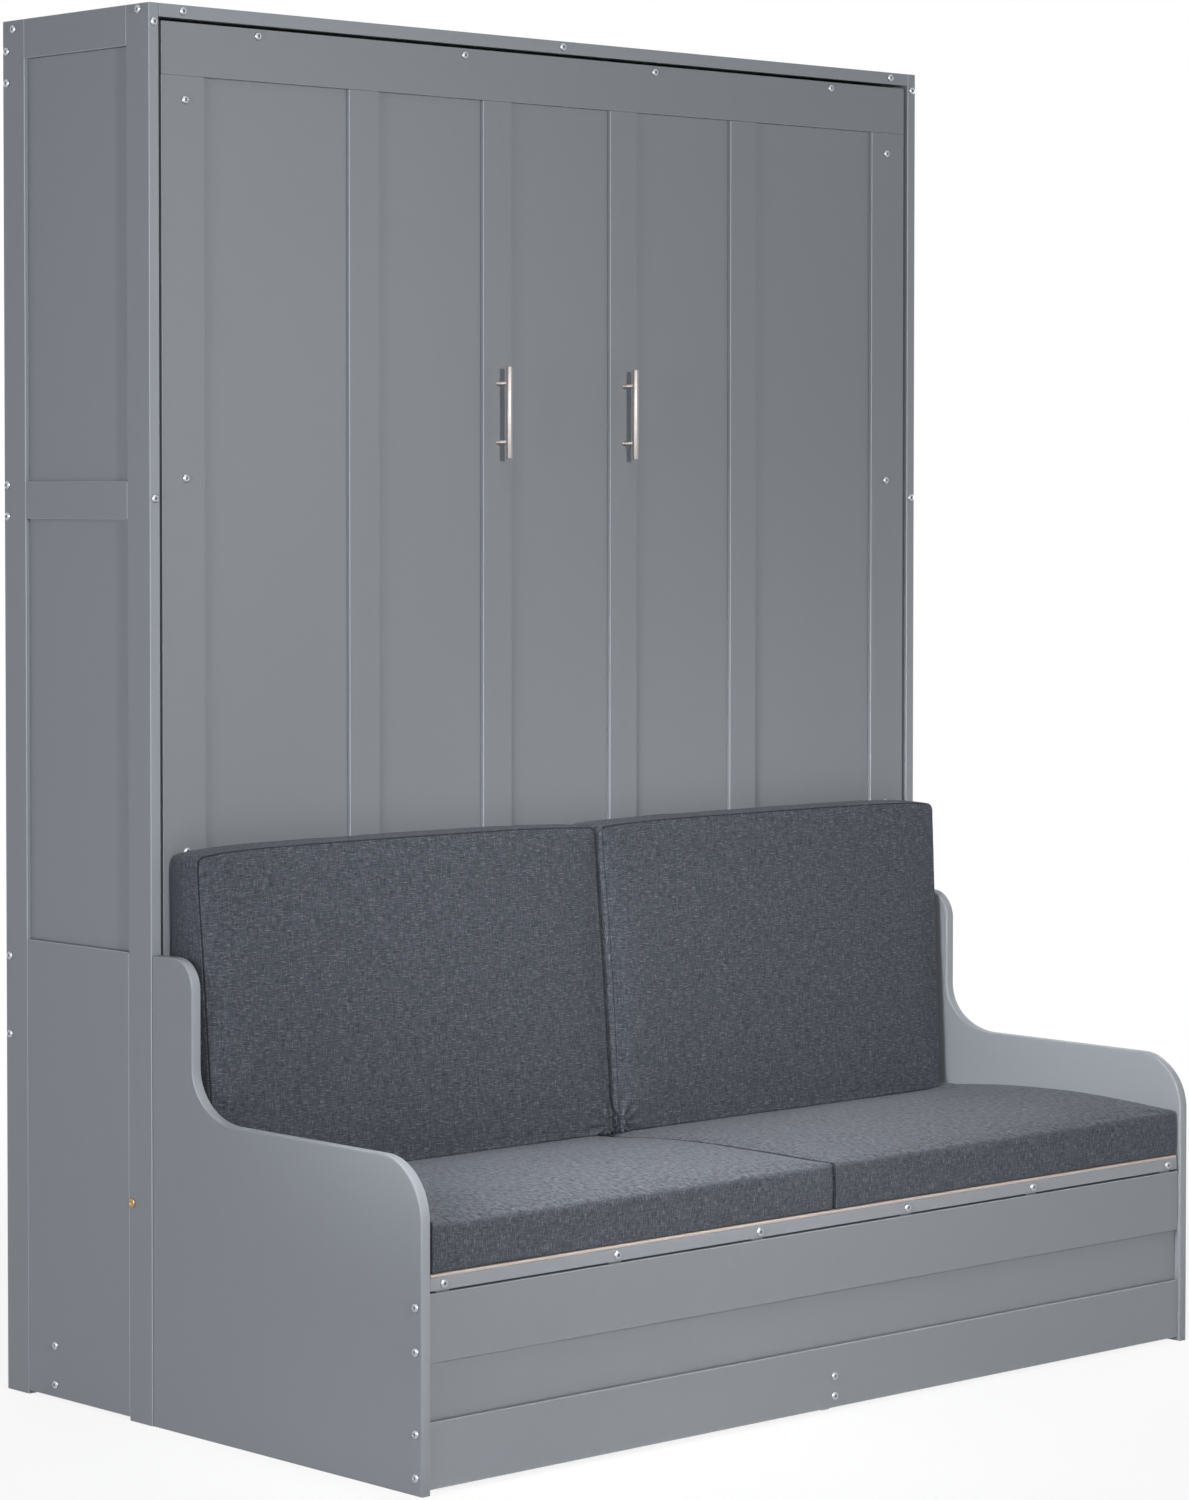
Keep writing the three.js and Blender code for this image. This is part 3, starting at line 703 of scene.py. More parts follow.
class Shell:
    """The mesh of one piece while it is being made, as closed forms added one by one."""

    bevel_steps = (0, 22.5, 45, 67.5, 90)

    def __init__(self) -> None:
        self.mesh = bmesh.new()

    def ring(self, places: Iterable[Sequence[float]]) -> list[bmesh.types.BMVert]:
        """New points, one for each place."""
        return [self.mesh.verts.new(place) for place in places]

    def bridge(self, rings: Sequence[Sequence[bmesh.types.BMVert]], material: int = 0) -> None:
        """Adds smooth faces from each ring to the next.

        Args:
            rings: The rings, in order, any of which may be a single point.
            material: The index of their finish.
        """
        for low, high in zip(rings, rings[1:]):
            count = max(len(low), len(high))
            for step in range(count):
                after = (step + 1) % count
                points = [low[step % len(low)], low[after % len(low)]]
                points += [high[after % len(high)], high[step % len(high)]]
                distinct = list(dict.fromkeys(points))
                if len(distinct) > 2:
                    face = self.mesh.faces.new(distinct)
                    face.smooth = True
                    face.material_index = material

    def loft(self, rings: Sequence[Sequence[bmesh.types.BMVert]]) -> None:
        """Adds a form through rings, with a flat face at either end."""
        self.bridge(rings)
        for ring in (rings[0], rings[-1]):
            self.mesh.faces.new(ring)

    def lathe(
        self, profile: Profile, start: Vector, way: Vector, segments: int, material: int = 0
    ) -> None:
        """Adds a turned form.

        Args:
            profile: Distance along the axis and radius of each ring in millimetres; 0 at the ends.
            start: Where distance 0 is.
            way: Which way the axis runs.
            segments: How many sides it has.
            material: The index of its finish.
        """
        axis = way.normalized()
        upright = abs(axis.z) >= 0.9
        first = axis.cross((Facing.RIGHT if upright else Facing.UP).way).normalized()
        second = axis.cross(first)
        spokes = [first * math.cos(turn) + second * math.sin(turn) for turn in circle(segments)]
        rings = []
        for along, radius in profile:
            centre = start + axis * (along * MM)
            places = [centre + spoke * (radius * MM) for spoke in spokes] if radius else [centre]
            rings.append(self.ring(places))
        self.bridge(rings, material)

    def slab(self, outline: Sequence[Pair], x: Sequence[float], ease: float) -> None:
        """Adds a board whose outline lies in (y, z), with rounded edges on both faces.

        Args:
            outline: The points of the outline, in order, with no point twice.
            x: Its lowest and highest x.
            ease: The radius of its edges.
        """
        points = np.array(outline)
        after = np.roll(points, -1, axis=0)
        ahead = (after - points) / np.linalg.norm(after - points, axis=1)[:, None]
        area = np.sum(points[:, 0] * after[:, 1] - points[:, 1] * after[:, 0])
        sides = [
            np.stack([-edge[:, 1], edge[:, 0]], axis=1) * math.copysign(1.0, area)
            for edge in (ahead, np.roll(ahead, 1, axis=0))
        ]
        inward = sides[0] + sides[1]
        inward /= np.sum(inward * sides[0], axis=1)[:, None]
        steps = [math.radians(angle) for angle in self.bevel_steps]
        bevel = [(ease * (1 - math.cos(turn)), ease * (1 - math.sin(turn))) for turn in steps]
        levels = [(x[0] + rise, inset) for rise, inset in bevel]
        levels += [(x[1] - rise, inset) for rise, inset in reversed(bevel)]
        self.loft([
            self.ring((across, y, z) for y, z in points + inward * inset) for across, inset in levels
        ])

    def block(self, low: Sequence[float], high: Sequence[float], ease: float) -> None:
        """Adds a box with rounded edges.

        Args:
            low: Its lowest corner.
            high: Its highest corner.
            ease: The radius of its edges.
        """
        low, high = Vector(low), Vector(high)
        made = bmesh.ops.create_cube(self.mesh, size=1.0)["verts"]
        for point in made:
            point.co = Vector(a * b for a, b in zip(point.co, high - low)) + (high + low) / 2
        edges = list(dict.fromkeys(edge for point in made for edge in point.link_edges))
        bmesh.ops.bevel(
            self.mesh, geom=edges, offset=ease, segments=3, profile=0.5, affect="EDGES",
            clamp_overlap=True,
        )

    def piece(self, name: str, *finishes: Finish) -> bpy.types.Object:
        """Closes the mesh into an object of the scene.

        Args:
            name: The piece's name.
            finishes: Its finishes, in the order of their index.

        Returns:
            The new object.
        """
        bmesh.ops.recalc_face_normals(self.mesh, faces=self.mesh.faces)
        data = bpy.data.meshes.new(name)
        self.mesh.to_mesh(data)
        self.mesh.free()
        for finish in finishes:
            data.materials.append(finish.material())
        return linked(name, data)


@dataclass
class Copies:
    """Copies of one small form, set on points and turned to face a way, by Geometry Nodes."""

    name: str
    template: bpy.types.Object
    finish: Finish
    spin: float = 0.0
    seed: int = 7

    def tree(self) -> bpy.types.NodeTree:
        """Builds the node tree.

        Returns:
            A tree that copies its Template onto every point.
        """
        tree = bpy.data.node_groups.new(f"{self.name}_copies", "GeometryNodeTree")
        sockets = {"Points": "Geometry", "Template": "Object", "Spin": "Float", "Finish": "Material"}
        for label, kind in sockets.items():
            tree.interface.new_socket(label, in_out="INPUT", socket_type=f"NodeSocket{kind}")
        tree.interface.new_socket("Geometry", in_out="OUTPUT", socket_type="NodeSocketGeometry")
        graph = NodeGraph(tree)
        entry = graph.node("NodeGroupInput").socket.node
        points, template, spin, finish = (Wire(graph, entry.outputs[label]) for label in sockets)
        form = graph.node("GeometryNodeObjectInfo", {}, {"Object": template}, "Geometry")
        settings = {"data_type": "FLOAT_VECTOR"}
        facing = graph.node("GeometryNodeInputNamedAttribute", settings, {"Name": "facing"})
        aimed = graph.node("FunctionNodeAlignRotationToVector", {"axis": "Z"}, {"Vector": facing})
        settings = {"data_type": "FLOAT"}
        random = graph.node("FunctionNodeRandomValue", settings, {"Seed": self.seed}, 1)
        turn = {"Axis": Facing.UP.value, "Angle": random * spin}
        spun = graph.node("FunctionNodeAxisAngleToRotation", {}, turn)
        turns = {"Rotation": aimed, "Rotate By": spun}
        turned = graph.node("FunctionNodeRotateRotation", {"rotation_space": "LOCAL"}, turns)
        copies = {"Points": points, "Instance": form, "Rotation": turned}
        copied = graph.node("GeometryNodeInstanceOnPoints", {}, copies)
        real = graph.node("GeometryNodeRealizeInstances", {}, {"Geometry": copied})
        paint = {"Geometry": real, "Material": finish}
        painted = graph.node("GeometryNodeSetMaterial", {}, paint)
        graph.node("NodeGroupOutput", {}, {"Geometry": painted})
        return tree

    def piece(
        self, points: Sequence[Sequence[float]], facings: Sequence[Triple]
    ) -> bpy.types.Object:
        """Makes the copies as one plain mesh.

        Args:
            points: Where each copy sits.
            facings: Which way the z axis of each copy looks.

        Returns:
            The new object.
        """
        data = bpy.data.meshes.new(self.name)
        data.from_pydata([tuple(point) for point in points], [], [])
        attribute = data.attributes.new("facing", "FLOAT_VECTOR", "POINT")
        attribute.data.foreach_set("vector", np.array(facings, np.float32).ravel())
        made = linked(self.name, data)
        tree = self.tree()
        modifier = made.modifiers.new("Copies", "NODES")
        modifier.node_group = tree
        values = {"Template": self.template, "Spin": self.spin, "Finish": self.finish.material()}
        for item in tree.interface.items_tree:
            if item.in_out == "INPUT" and item.name in values:
                modifier[item.identifier] = values[item.name]
        bpy.context.view_layer.update()
        settled_mesh(made)
        bpy.data.node_groups.remove(tree)
        return made


@dataclass
class TopJoint:
    """The rail over the door and the door's top rail, which nearly meet in front."""

    rail_drop: float = 1.5 * MM
    lip_rise: float = 4 * MM
    lip_depth: float = 9 * MM
    lap: float = 2.5 * MM
    ease: float = 1.2 * MM
    inset: float = 0.2 * MM

    def build(self) -> None:
        """Makes both rails."""
        low, high = corners("top_front_rail")
        rail = Shell()
        rail.block(low - Facing.UP.way * self.rail_drop, high, self.ease)
        piece = rail.piece("top_front_rail_board", PAINT_LIT_ENDS)
        fasten(piece, "cabinet", Slot.PAINT, "top_front_rail")
        low, high = corners("door_top_rail")
        front = low.y + self.lip_depth
        door = Shell()
        door.block(low, (high.x, front, high.z + self.lip_rise), self.ease)
        rear = (low.x + self.inset, front - self.lap, low.z + self.inset)
        door.block(rear, (high.x - self.inset, high.y, high.z), self.ease)
        fasten(door.piece("door_top_rail_board", PAINT), "bed", Slot.PAINT, "door_top_rail")


@dataclass
class Arm:
    """One S-shaped arm of the sofa, cut from one board."""

    side: Side
    post_reach: float = 100 * MM - CLEARANCE
    post_radii: Pair = (47 * MM, 47 * MM)
    rest_height: float = 483 * MM
    cove: Pair = (102 * MM, 79 * MM)
    nose_radii: Pair = (90 * MM, 90 * MM)
    edge_radius: float = 2.4 * MM
    arc_steps: int = 28

    def outline(self, low: Vector, high: Vector) -> list[Pair]:
        """The arm seen from the side.

        Args:
            low: The lowest corner of its box.
            high: The highest corner.

        Returns:
            Its points in (y, z), from the rear bottom corner round.
        """
        post = high.y - self.post_reach
        bends = (
            (post + self.post_radii[0], high.z - self.post_radii[1], self.post_radii, (90, 180)),
            (post - self.cove[0], self.rest_height + self.cove[1], self.cove, (0, -90)),
            (
                low.y + self.nose_radii[0], self.rest_height - self.nose_radii[1], self.nose_radii,
                (90, 180),
            ),
        )
        points = [(high.y, low.z), (high.y, high.z)]
        for bend in bends:
            points += arc(*bend, self.arc_steps)
        return [*points, (low.y, low.z)]

    def build(self) -> None:
        """Makes the arm."""
        node = f"{self.side.word}_arm"
        low, high = corners(node)
        shell = Shell()
        shell.slab(self.outline(low, high), (low.x, high.x), self.edge_radius)
        fasten(shell.piece(f"{node}_board", CURVED_PAINT_LIT_RIMS), "cabinet", Slot.PAINT, node)


@dataclass
class Handle:
    """A satin steel bar on two posts."""

    side: Side
    bar_radius: float = 5 * MM
    spacing: float = 96 * MM
    bar_sides: int = 40
    post_sides: int = 32
    bar_end: Profile = ((0, 0), (0, 4.1), (0.27, 4.73), (0.9, 5))
    post: Profile = ((0, 0), (0, 3))
    flange: Profile = ((-2.4, 3), (-1.6, 3.6), (-1.2, 4), (0, 4), (0, 0))

    def build(self) -> None:
        """Makes the handle."""
        node = f"handle_{self.side.word}"
        low, high = corners(node)
        middle = (low + high) / 2
        y = low.y + self.bar_radius
        length, reach = (high.z - low.z) / MM, (high.y - y) / MM
        far_end = [(length - along, radius) for along, radius in reversed(self.bar_end)]
        shell = Shell()
        start = Vector((middle.x, y, low.z))
        shell.lathe([*self.bar_end, *far_end], start, Facing.UP.way, self.bar_sides)
        post = [*self.post, *((reach + along, radius) for along, radius in self.flange)]
        for end in (-1, 1):
            start = Vector((middle.x, y, middle.z + end * self.spacing / 2))
            shell.lathe(post, start, Facing.REAR.way, self.post_sides)
        fasten(shell.piece(f"{node}_bar", STEEL), "bed", Slot.STEEL, node)


@dataclass
class PivotBolt:
    """The stepped brass bolt on which the bed turns, with a round socket in its head."""

    side: Side
    setback: float = 50 * MM
    shank: float = 5.0
    collar: float = 13.0
    sides: int = 36
    head: Profile = (
        (1.9, 0), (1.9, 3.5), (0.25, 3.5), (0, 3.8), (0.2, 5.6), (0.8, 6.7), (1.5, 7.2), (2.7, 7.2),
        (2.7, 5),
    )

    def build(self) -> None:
        """Makes the bolt."""
        word = self.side.word
        node = f"pivot_bolt_{word}"
        low, high = corners(node)
        outer = self.side.outer(node)
        y = corners("left_front_stile")[0].y + self.setback
        gap = (abs(outer - self.side.inner(f"{word}_front_stile")) + CLEARANCE) / MM
        rail = (abs(outer - self.side.outer(f"bed_side_rail_{word}")) - CLEARANCE) / MM
        end = (high.x - low.x) / MM
        body = [(gap, self.shank), (gap, self.collar), (rail, self.collar), (rail, self.shank)]
        shell = Shell()
        start = Vector((outer, y, (low.z + high.z) / 2))
        profile = [*self.head, *body, (end, self.shank), (end, 0)]
        shell.lathe(profile, start, -self.side.outwards.way, self.sides)
        fasten(shell.piece(f"{node}_turned", BRASS), "cabinet", Slot.BRASS, node)


@dataclass
class GasStrut:
    """A gas strut: enamelled tube with end fittings, and its bright rod."""

    side: Side
    x: float = 810 * MM
    anchor: Pair = (455.5 * MM, 900 * MM)
    foot: Pair = (257.5 * MM, 139 * MM)
    tube_length: float = 440 * MM
    rod_in_tube: float = 30 * MM
    tube_sides: int = 36
    rod_sides: int = 28
    eye_sides: int = 32
    pin_sides: int = 28
    tube: Profile = (
        (8, 0), (8, 6), (15, 6), (16, 8.5), (19, 10.4), (22, 11), (431, 11), (433, 10.3),
        (434.5, 10.3), (436, 11), (438.5, 10.4), (440, 8.4), (440, 0),
    )
    rod: Profile = ((6, 0), (6, 6.2), (15, 6.2), (16, 5))
    rod_radius: float = 5.0
    eye: Profile = ((-4.5, 0), (-4.5, 8.8), (-3.3, 10), (3.3, 10), (4.5, 8.8), (4.5, 0))
    pin: Profile = ((0, 0), (0, 4.5))
    washer: Profile = ((-2.2, 4.5), (-2.2, 7.5), (-1.7, 8), (0, 8), (0, 0))

    def build(self) -> None:
        """Makes the tube and the rod."""
        word = self.side.word
        top, foot = (Vector((self.side.value * self.x, *end)) for end in (self.anchor, self.foot))
        out = self.side.outwards.way
        reach = ((foot - top).length - self.tube_length + self.rod_in_tube) / MM
        tube, rod = Shell(), Shell()
        tube.lathe(self.tube, top, foot - top, self.tube_sides)
        profile = [*self.rod, (reach, self.rod_radius), (reach, 0)]
        rod.lathe(profile, foot, top - foot, self.rod_sides)
        stile, rail = self.side.inner(f"{word}_front_stile"), self.side.outer(f"bed_side_rail_{word}")
        for shell, end, way, face in ((tube, top, out, stile), (rod, foot, -out, rail)):
            shell.lathe(self.eye, end, Facing.RIGHT.way, self.eye_sides)
            length = (abs(abs(face) - self.x) - CLEARANCE) / MM
            pin = [*self.pin, *((length + along, radius) for along, radius in self.washer)]
            shell.lathe(pin, end, way, self.pin_sides)
        tube_piece = tube.piece(f"strut_tube_{word}", BLACK)
        rod_piece = rod.piece(f"strut_rod_{word}_bright", CHROME)
        fasten(tube_piece, f"{word}_strut_tube", Slot.BLACK, f"strut_cylinder_{word}")
        fasten(rod_piece, f"{word}_strut_rod", Slot.STEEL, f"strut_rod_{word}")


@dataclass
class FootLeg:
    """A leg that swings over the foot of the lowered bed."""

    side: Side
    thickness: float = 19 * MM
    edge_radius: float = 2 * MM
    bolt_sides: int = 28
    bolt: Profile = ((0, 0), (0, 6), (2.6, 6), (3.6, 4.8), (4, 3), (4, 0))
    arc_steps: int = 22

    def build(self) -> None:
        """Makes the leg with its bolt head."""
        word = self.side.word
        node = f"foot_leg_{word}"
        low, high = corners(node)
        half, middle = (high.y - low.y) / 2, (high.y + low.y) / 2
        inner = self.side.inner(node)
        outer = inner + self.side.value * self.thickness
        outline = arc(middle, high.z - half, (half, half), (0, 180), self.arc_steps)
        outline += arc(middle, low.z + half, (half, half), (180, 360), self.arc_steps)
        shell = Shell()
        shell.slab(outline, sorted((inner, outer)), self.edge_radius)
        start = Vector((outer, middle, high.z - half))
        shell.lathe(self.bolt, start, self.side.outwards.way, self.bolt_sides, material=1)
        piece = shell.piece(f"{node}_swing", CURVED_PAINT_LIT_RIMS, NICKEL)
        fasten(piece, f"{word}_leg", Slot.PAINT, node)


@dataclass
class SlatRoll:
    """Thirteen sprung slats and the three straps that keep them apart."""

    count: int = 13
    width: float = 72 * MM
    thickness: float = 12 * MM
    slat_ease: float = 2.4 * MM
    strap_width: float = 40 * MM
    strap_inset: float = 2 * MM
    strap_sink: float = 0.4 * MM
    strap_rise: float = 1.4 * MM
    strap_ease: float = 0.5 * MM
    staple: Triple = (11 * MM, 0.9 * MM, 1.3 * MM)
    staple_ease: float = 0.3 * MM
    staple_rise: float = 1.6 * MM
    staple_shift: float = 9 * MM

    @staticmethod
    def _copied(
        name: str, size: Vector, ease: float, finish: Finish, spots: Sequence[Triple], facing: Facing
    ) -> bpy.types.Object:
        """Sets a small block on many spots.

        Args:
            name: The new piece's name.
            size: The block's size.
            ease: The radius of its edges.
            finish: Its finish.
            spots: Where each copy sits.
            facing: Which way its z axis looks.

        Returns:
            The new piece.
        """
        shell = Shell()
        shell.block(-size / 2, size / 2, ease)
        template = shell.piece(f"{name}_template", finish)
        made = Copies(name, template, finish).piece(spots, [facing.value] * len(spots))
        bpy.data.objects.remove(template)
        return made

    def build(self) -> None:
        """Makes the slats, the straps and the staples."""
        low, high = corners("slat_set")
        face, middle = low.y + self.thickness, low.y + self.thickness / 2
        gap = (high.z - low.z - self.count * self.width) / (self.count - 1)
        heights = [low.z + self.width / 2 + index * (self.width + gap) for index in range(self.count)]
        size = Vector((high.x - low.x, self.thickness, self.width))
        spots = [(0.0, middle, z) for z in heights]
        slats = self._copied("sprung_slats", size, self.slat_ease, SLAT, spots, Facing.UP)
        straps = Shell()
        places = (-high.x / 2, 0.0, high.x / 2)
        for x in places:
            corner = (x - self.strap_width / 2, face - self.strap_sink, low.z + self.strap_inset)
            far = (x + self.strap_width / 2, face + self.strap_rise, high.z - self.strap_inset)
            straps.block(corner, far, self.strap_ease)
        spots = [
            (x + shift, face + self.staple_rise, z)
            for x in places
            for z in heights
            for shift in (-self.staple_shift, self.staple_shift)
        ]
        size = Vector(self.staple)
        staples = self._copied("slat_staples", size, self.staple_ease, NICKEL, spots, Facing.REAR)
        fasten(slats, "bed", Slot.SLATS, "slat_set")
        fasten(straps.piece("slat_straps", STRAP), "bed", Slot.SLATS)
        fasten(staples, "bed", Slot.STEEL)


@dataclass
class ScrewSet:
    """Dome-head screws with a hex socket, all of one body made as one piece.

    The tables give places in millimetres: how far behind the front and how high, how high, or
    how far from the middle.
    """

    head: float = 13.4 * MM
    height: float = 3.4 * MM
    socket: float = 5.2 * MM
    socket_depth: float = 2.0 * MM
    chamfer: Pair = (0.35 * MM, 0.3 * MM)
    root: float = 1.0 * MM
    seat: float = 0.15 * MM
    sides: int = 24
    root_width: float = 0.8
    shoulder_share: float = 0.28
    shoulder_width: float = 0.985
    top_width: float = 0.5
    dome_shares: Triple = (0.86, 0.7, 0.54)
    board_middle: float = 9.5
    side_marks: Sequence[Pair] = (
        (356, 2166), (27, 2171), (374, 2132), (374, 2082), (376, 1446),
        (376, 1396), (374, 696), (374, 571), (254, 88), (254, 26),
    )
    stile_heights: Pair = (2151, 1425)
    rail_place: Pair = (785, 2170.5)
    rear_heights: Triple = (2003, 1100, 380)
    arm_setback: float = 12.0
    arm_heights: Sequence[float] = (271, 207, 89, 26)
    plinth_heights: Pair = (56, 25)
    door_side: float = 779.0
    door_heights: Sequence[float] = (2036, 1456, 881, 300)
    door_top: Pair = (212, 637)
    door_top_height: float = 2143.0
    deck: Triple = (803, 463, 165)
    deck_height: float = 301.5

    def template(self) -> bpy.types.Object:
        """One screw head, standing on z = 0.

        Returns:
            The object that is copied.
        """
        shell = Shell()
        recess = shell.mesh.verts.layers.float.new("recess")
        turns, radius = circle(self.sides), self.head / 2
        sixth, shoulder = math.pi / 3, self.shoulder_share
        flat = self.socket / 2 * math.cos(sixth / 2)
        key = [flat / math.cos(turn % sixth - sixth / 2) for turn in turns]
        levels = [(-self.root, self.root_width), (0.0, 1.0)]
        levels.append((self.height * shoulder, self.shoulder_width))
        for share in self.dome_shares:
            dome = math.sqrt(1 - share ** 2) / math.sqrt(1 - self.top_width ** 2)
            rise = shoulder + (1 - shoulder) * dome
            levels.append((self.height * rise, share))
        levels = [(z, [radius * share] * self.sides) for z, share in levels]
        levels.append((self.height, [size + self.chamfer[0] for size in key]))
        levels.append((self.height - self.chamfer[1], key))
        levels.append((self.height - self.socket_depth, key))
        rings = [
            shell.ring((s * math.cos(t), s * math.sin(t), z) for s, t in zip(sizes, turns))
            for z, sizes in levels
        ]
        # Marks the socket and the root ring, which the screw's finish darkens as painted shade.
        for ring in (rings[0], rings[1], *rings[-2:]):
            for point in ring:
                point[recess] = 1.0
        shell.loft(rings)
        return shell.piece("screw_template", NICKEL)

    @staticmethod
    def _row(
        facing: Facing, y: float, x: Sequence[float], z: Sequence[float]
    ) -> list[tuple[Facing, Vector]]:
        """Screws on a face at y, in metres, at each x and height, in millimetres."""
        return [(facing, Vector((across * MM, y, up * MM))) for across in x for up in z]

    @staticmethod
    def _both_sides(*places: float) -> list[float]:
        """Each place left of the middle, then each right of it."""
        return [sign * place for sign in (-1, 1) for place in places]

    def places(self) -> dict[str, list[tuple[Facing, Vector]]]:
        """Where every screw sits, by the body that it rides on.

        Returns:
            Facing and place of each screw of each body.
        """
        corner = corners("left_front_stile")[0]
        front, side = corner.y, abs(corner.x) / MM
        rear = corners("left_rear_stile")[1].y
        arm = corners("left_arm")[0]
        plinth, door, deck = (
            corners(node)[0].y for node in ("sofa_front_bottom_rail", "door_top_rail", "seat_frame")
        )
        top_x, top_z = self.rail_place
        cabinet, row = [], self._row
        for hand in Side:
            way, sign = hand.outwards, hand.value
            board = (sign * (side - self.board_middle),)
            for y, z in self.side_marks:
                cabinet += row(way, front + y * MM, (sign * side,), (z,))
            cabinet += row(Facing.FRONT, front, board, self.stile_heights)
            cabinet += row(Facing.FRONT, front, (sign * top_x,), (top_z,))
            cabinet += row(Facing.REAR, rear, board, self.rear_heights)
            arm_y = arm.y + self.arm_setback * MM
            cabinet += row(way, arm_y, (sign * abs(arm.x) / MM,), self.arm_heights)
        cabinet += row(Facing.FRONT, front, (0.0,), (top_z,))
        cabinet += row(Facing.FRONT, plinth, (0.0,), self.plinth_heights)
        bed = row(Facing.FRONT, door, self._both_sides(self.door_side), self.door_heights)
        bed += row(Facing.FRONT, door, self._both_sides(*self.door_top), (self.door_top_height,))
        strip = row(Facing.FRONT, deck, self._both_sides(*self.deck), (self.deck_height,))
        return {"cabinet": cabinet, "bed": bed, "seat_deck": strip}

    def build(self) -> None:
        """Makes the screws of every body."""
        template = self.template()
        for body, screws in self.places().items():
            points = [place + facing.way * self.seat for facing, place in screws]
            copies = Copies(f"{body}_screws", template, NICKEL, math.tau)
            fasten(copies.piece(points, [facing.value for facing, _ in screws]), body, Slot.STEEL)
        bpy.data.objects.remove(template)


def graded_steps(length: float, near: Sequence[float], pitch: float) -> list[float]:
    """Places along a length, close together near both of its ends.

    Args:
        length: The whole length.
        near: The first places from an end, from 0 up.
        pitch: How far apart the others are.

    Returns:
        Places from minus half the length to plus half.
    """
    start = [step for step in near if step < length * 0.45]
    middle = length - 2 * start[-1]
    count = max(1, round(middle / pitch))
    inner = [start[-1] + middle * index / count for index in range(1, count)]
    steps = [*start, *inner, *(length - step for step in reversed(start))]
    return [step - length / 2 for step in steps]


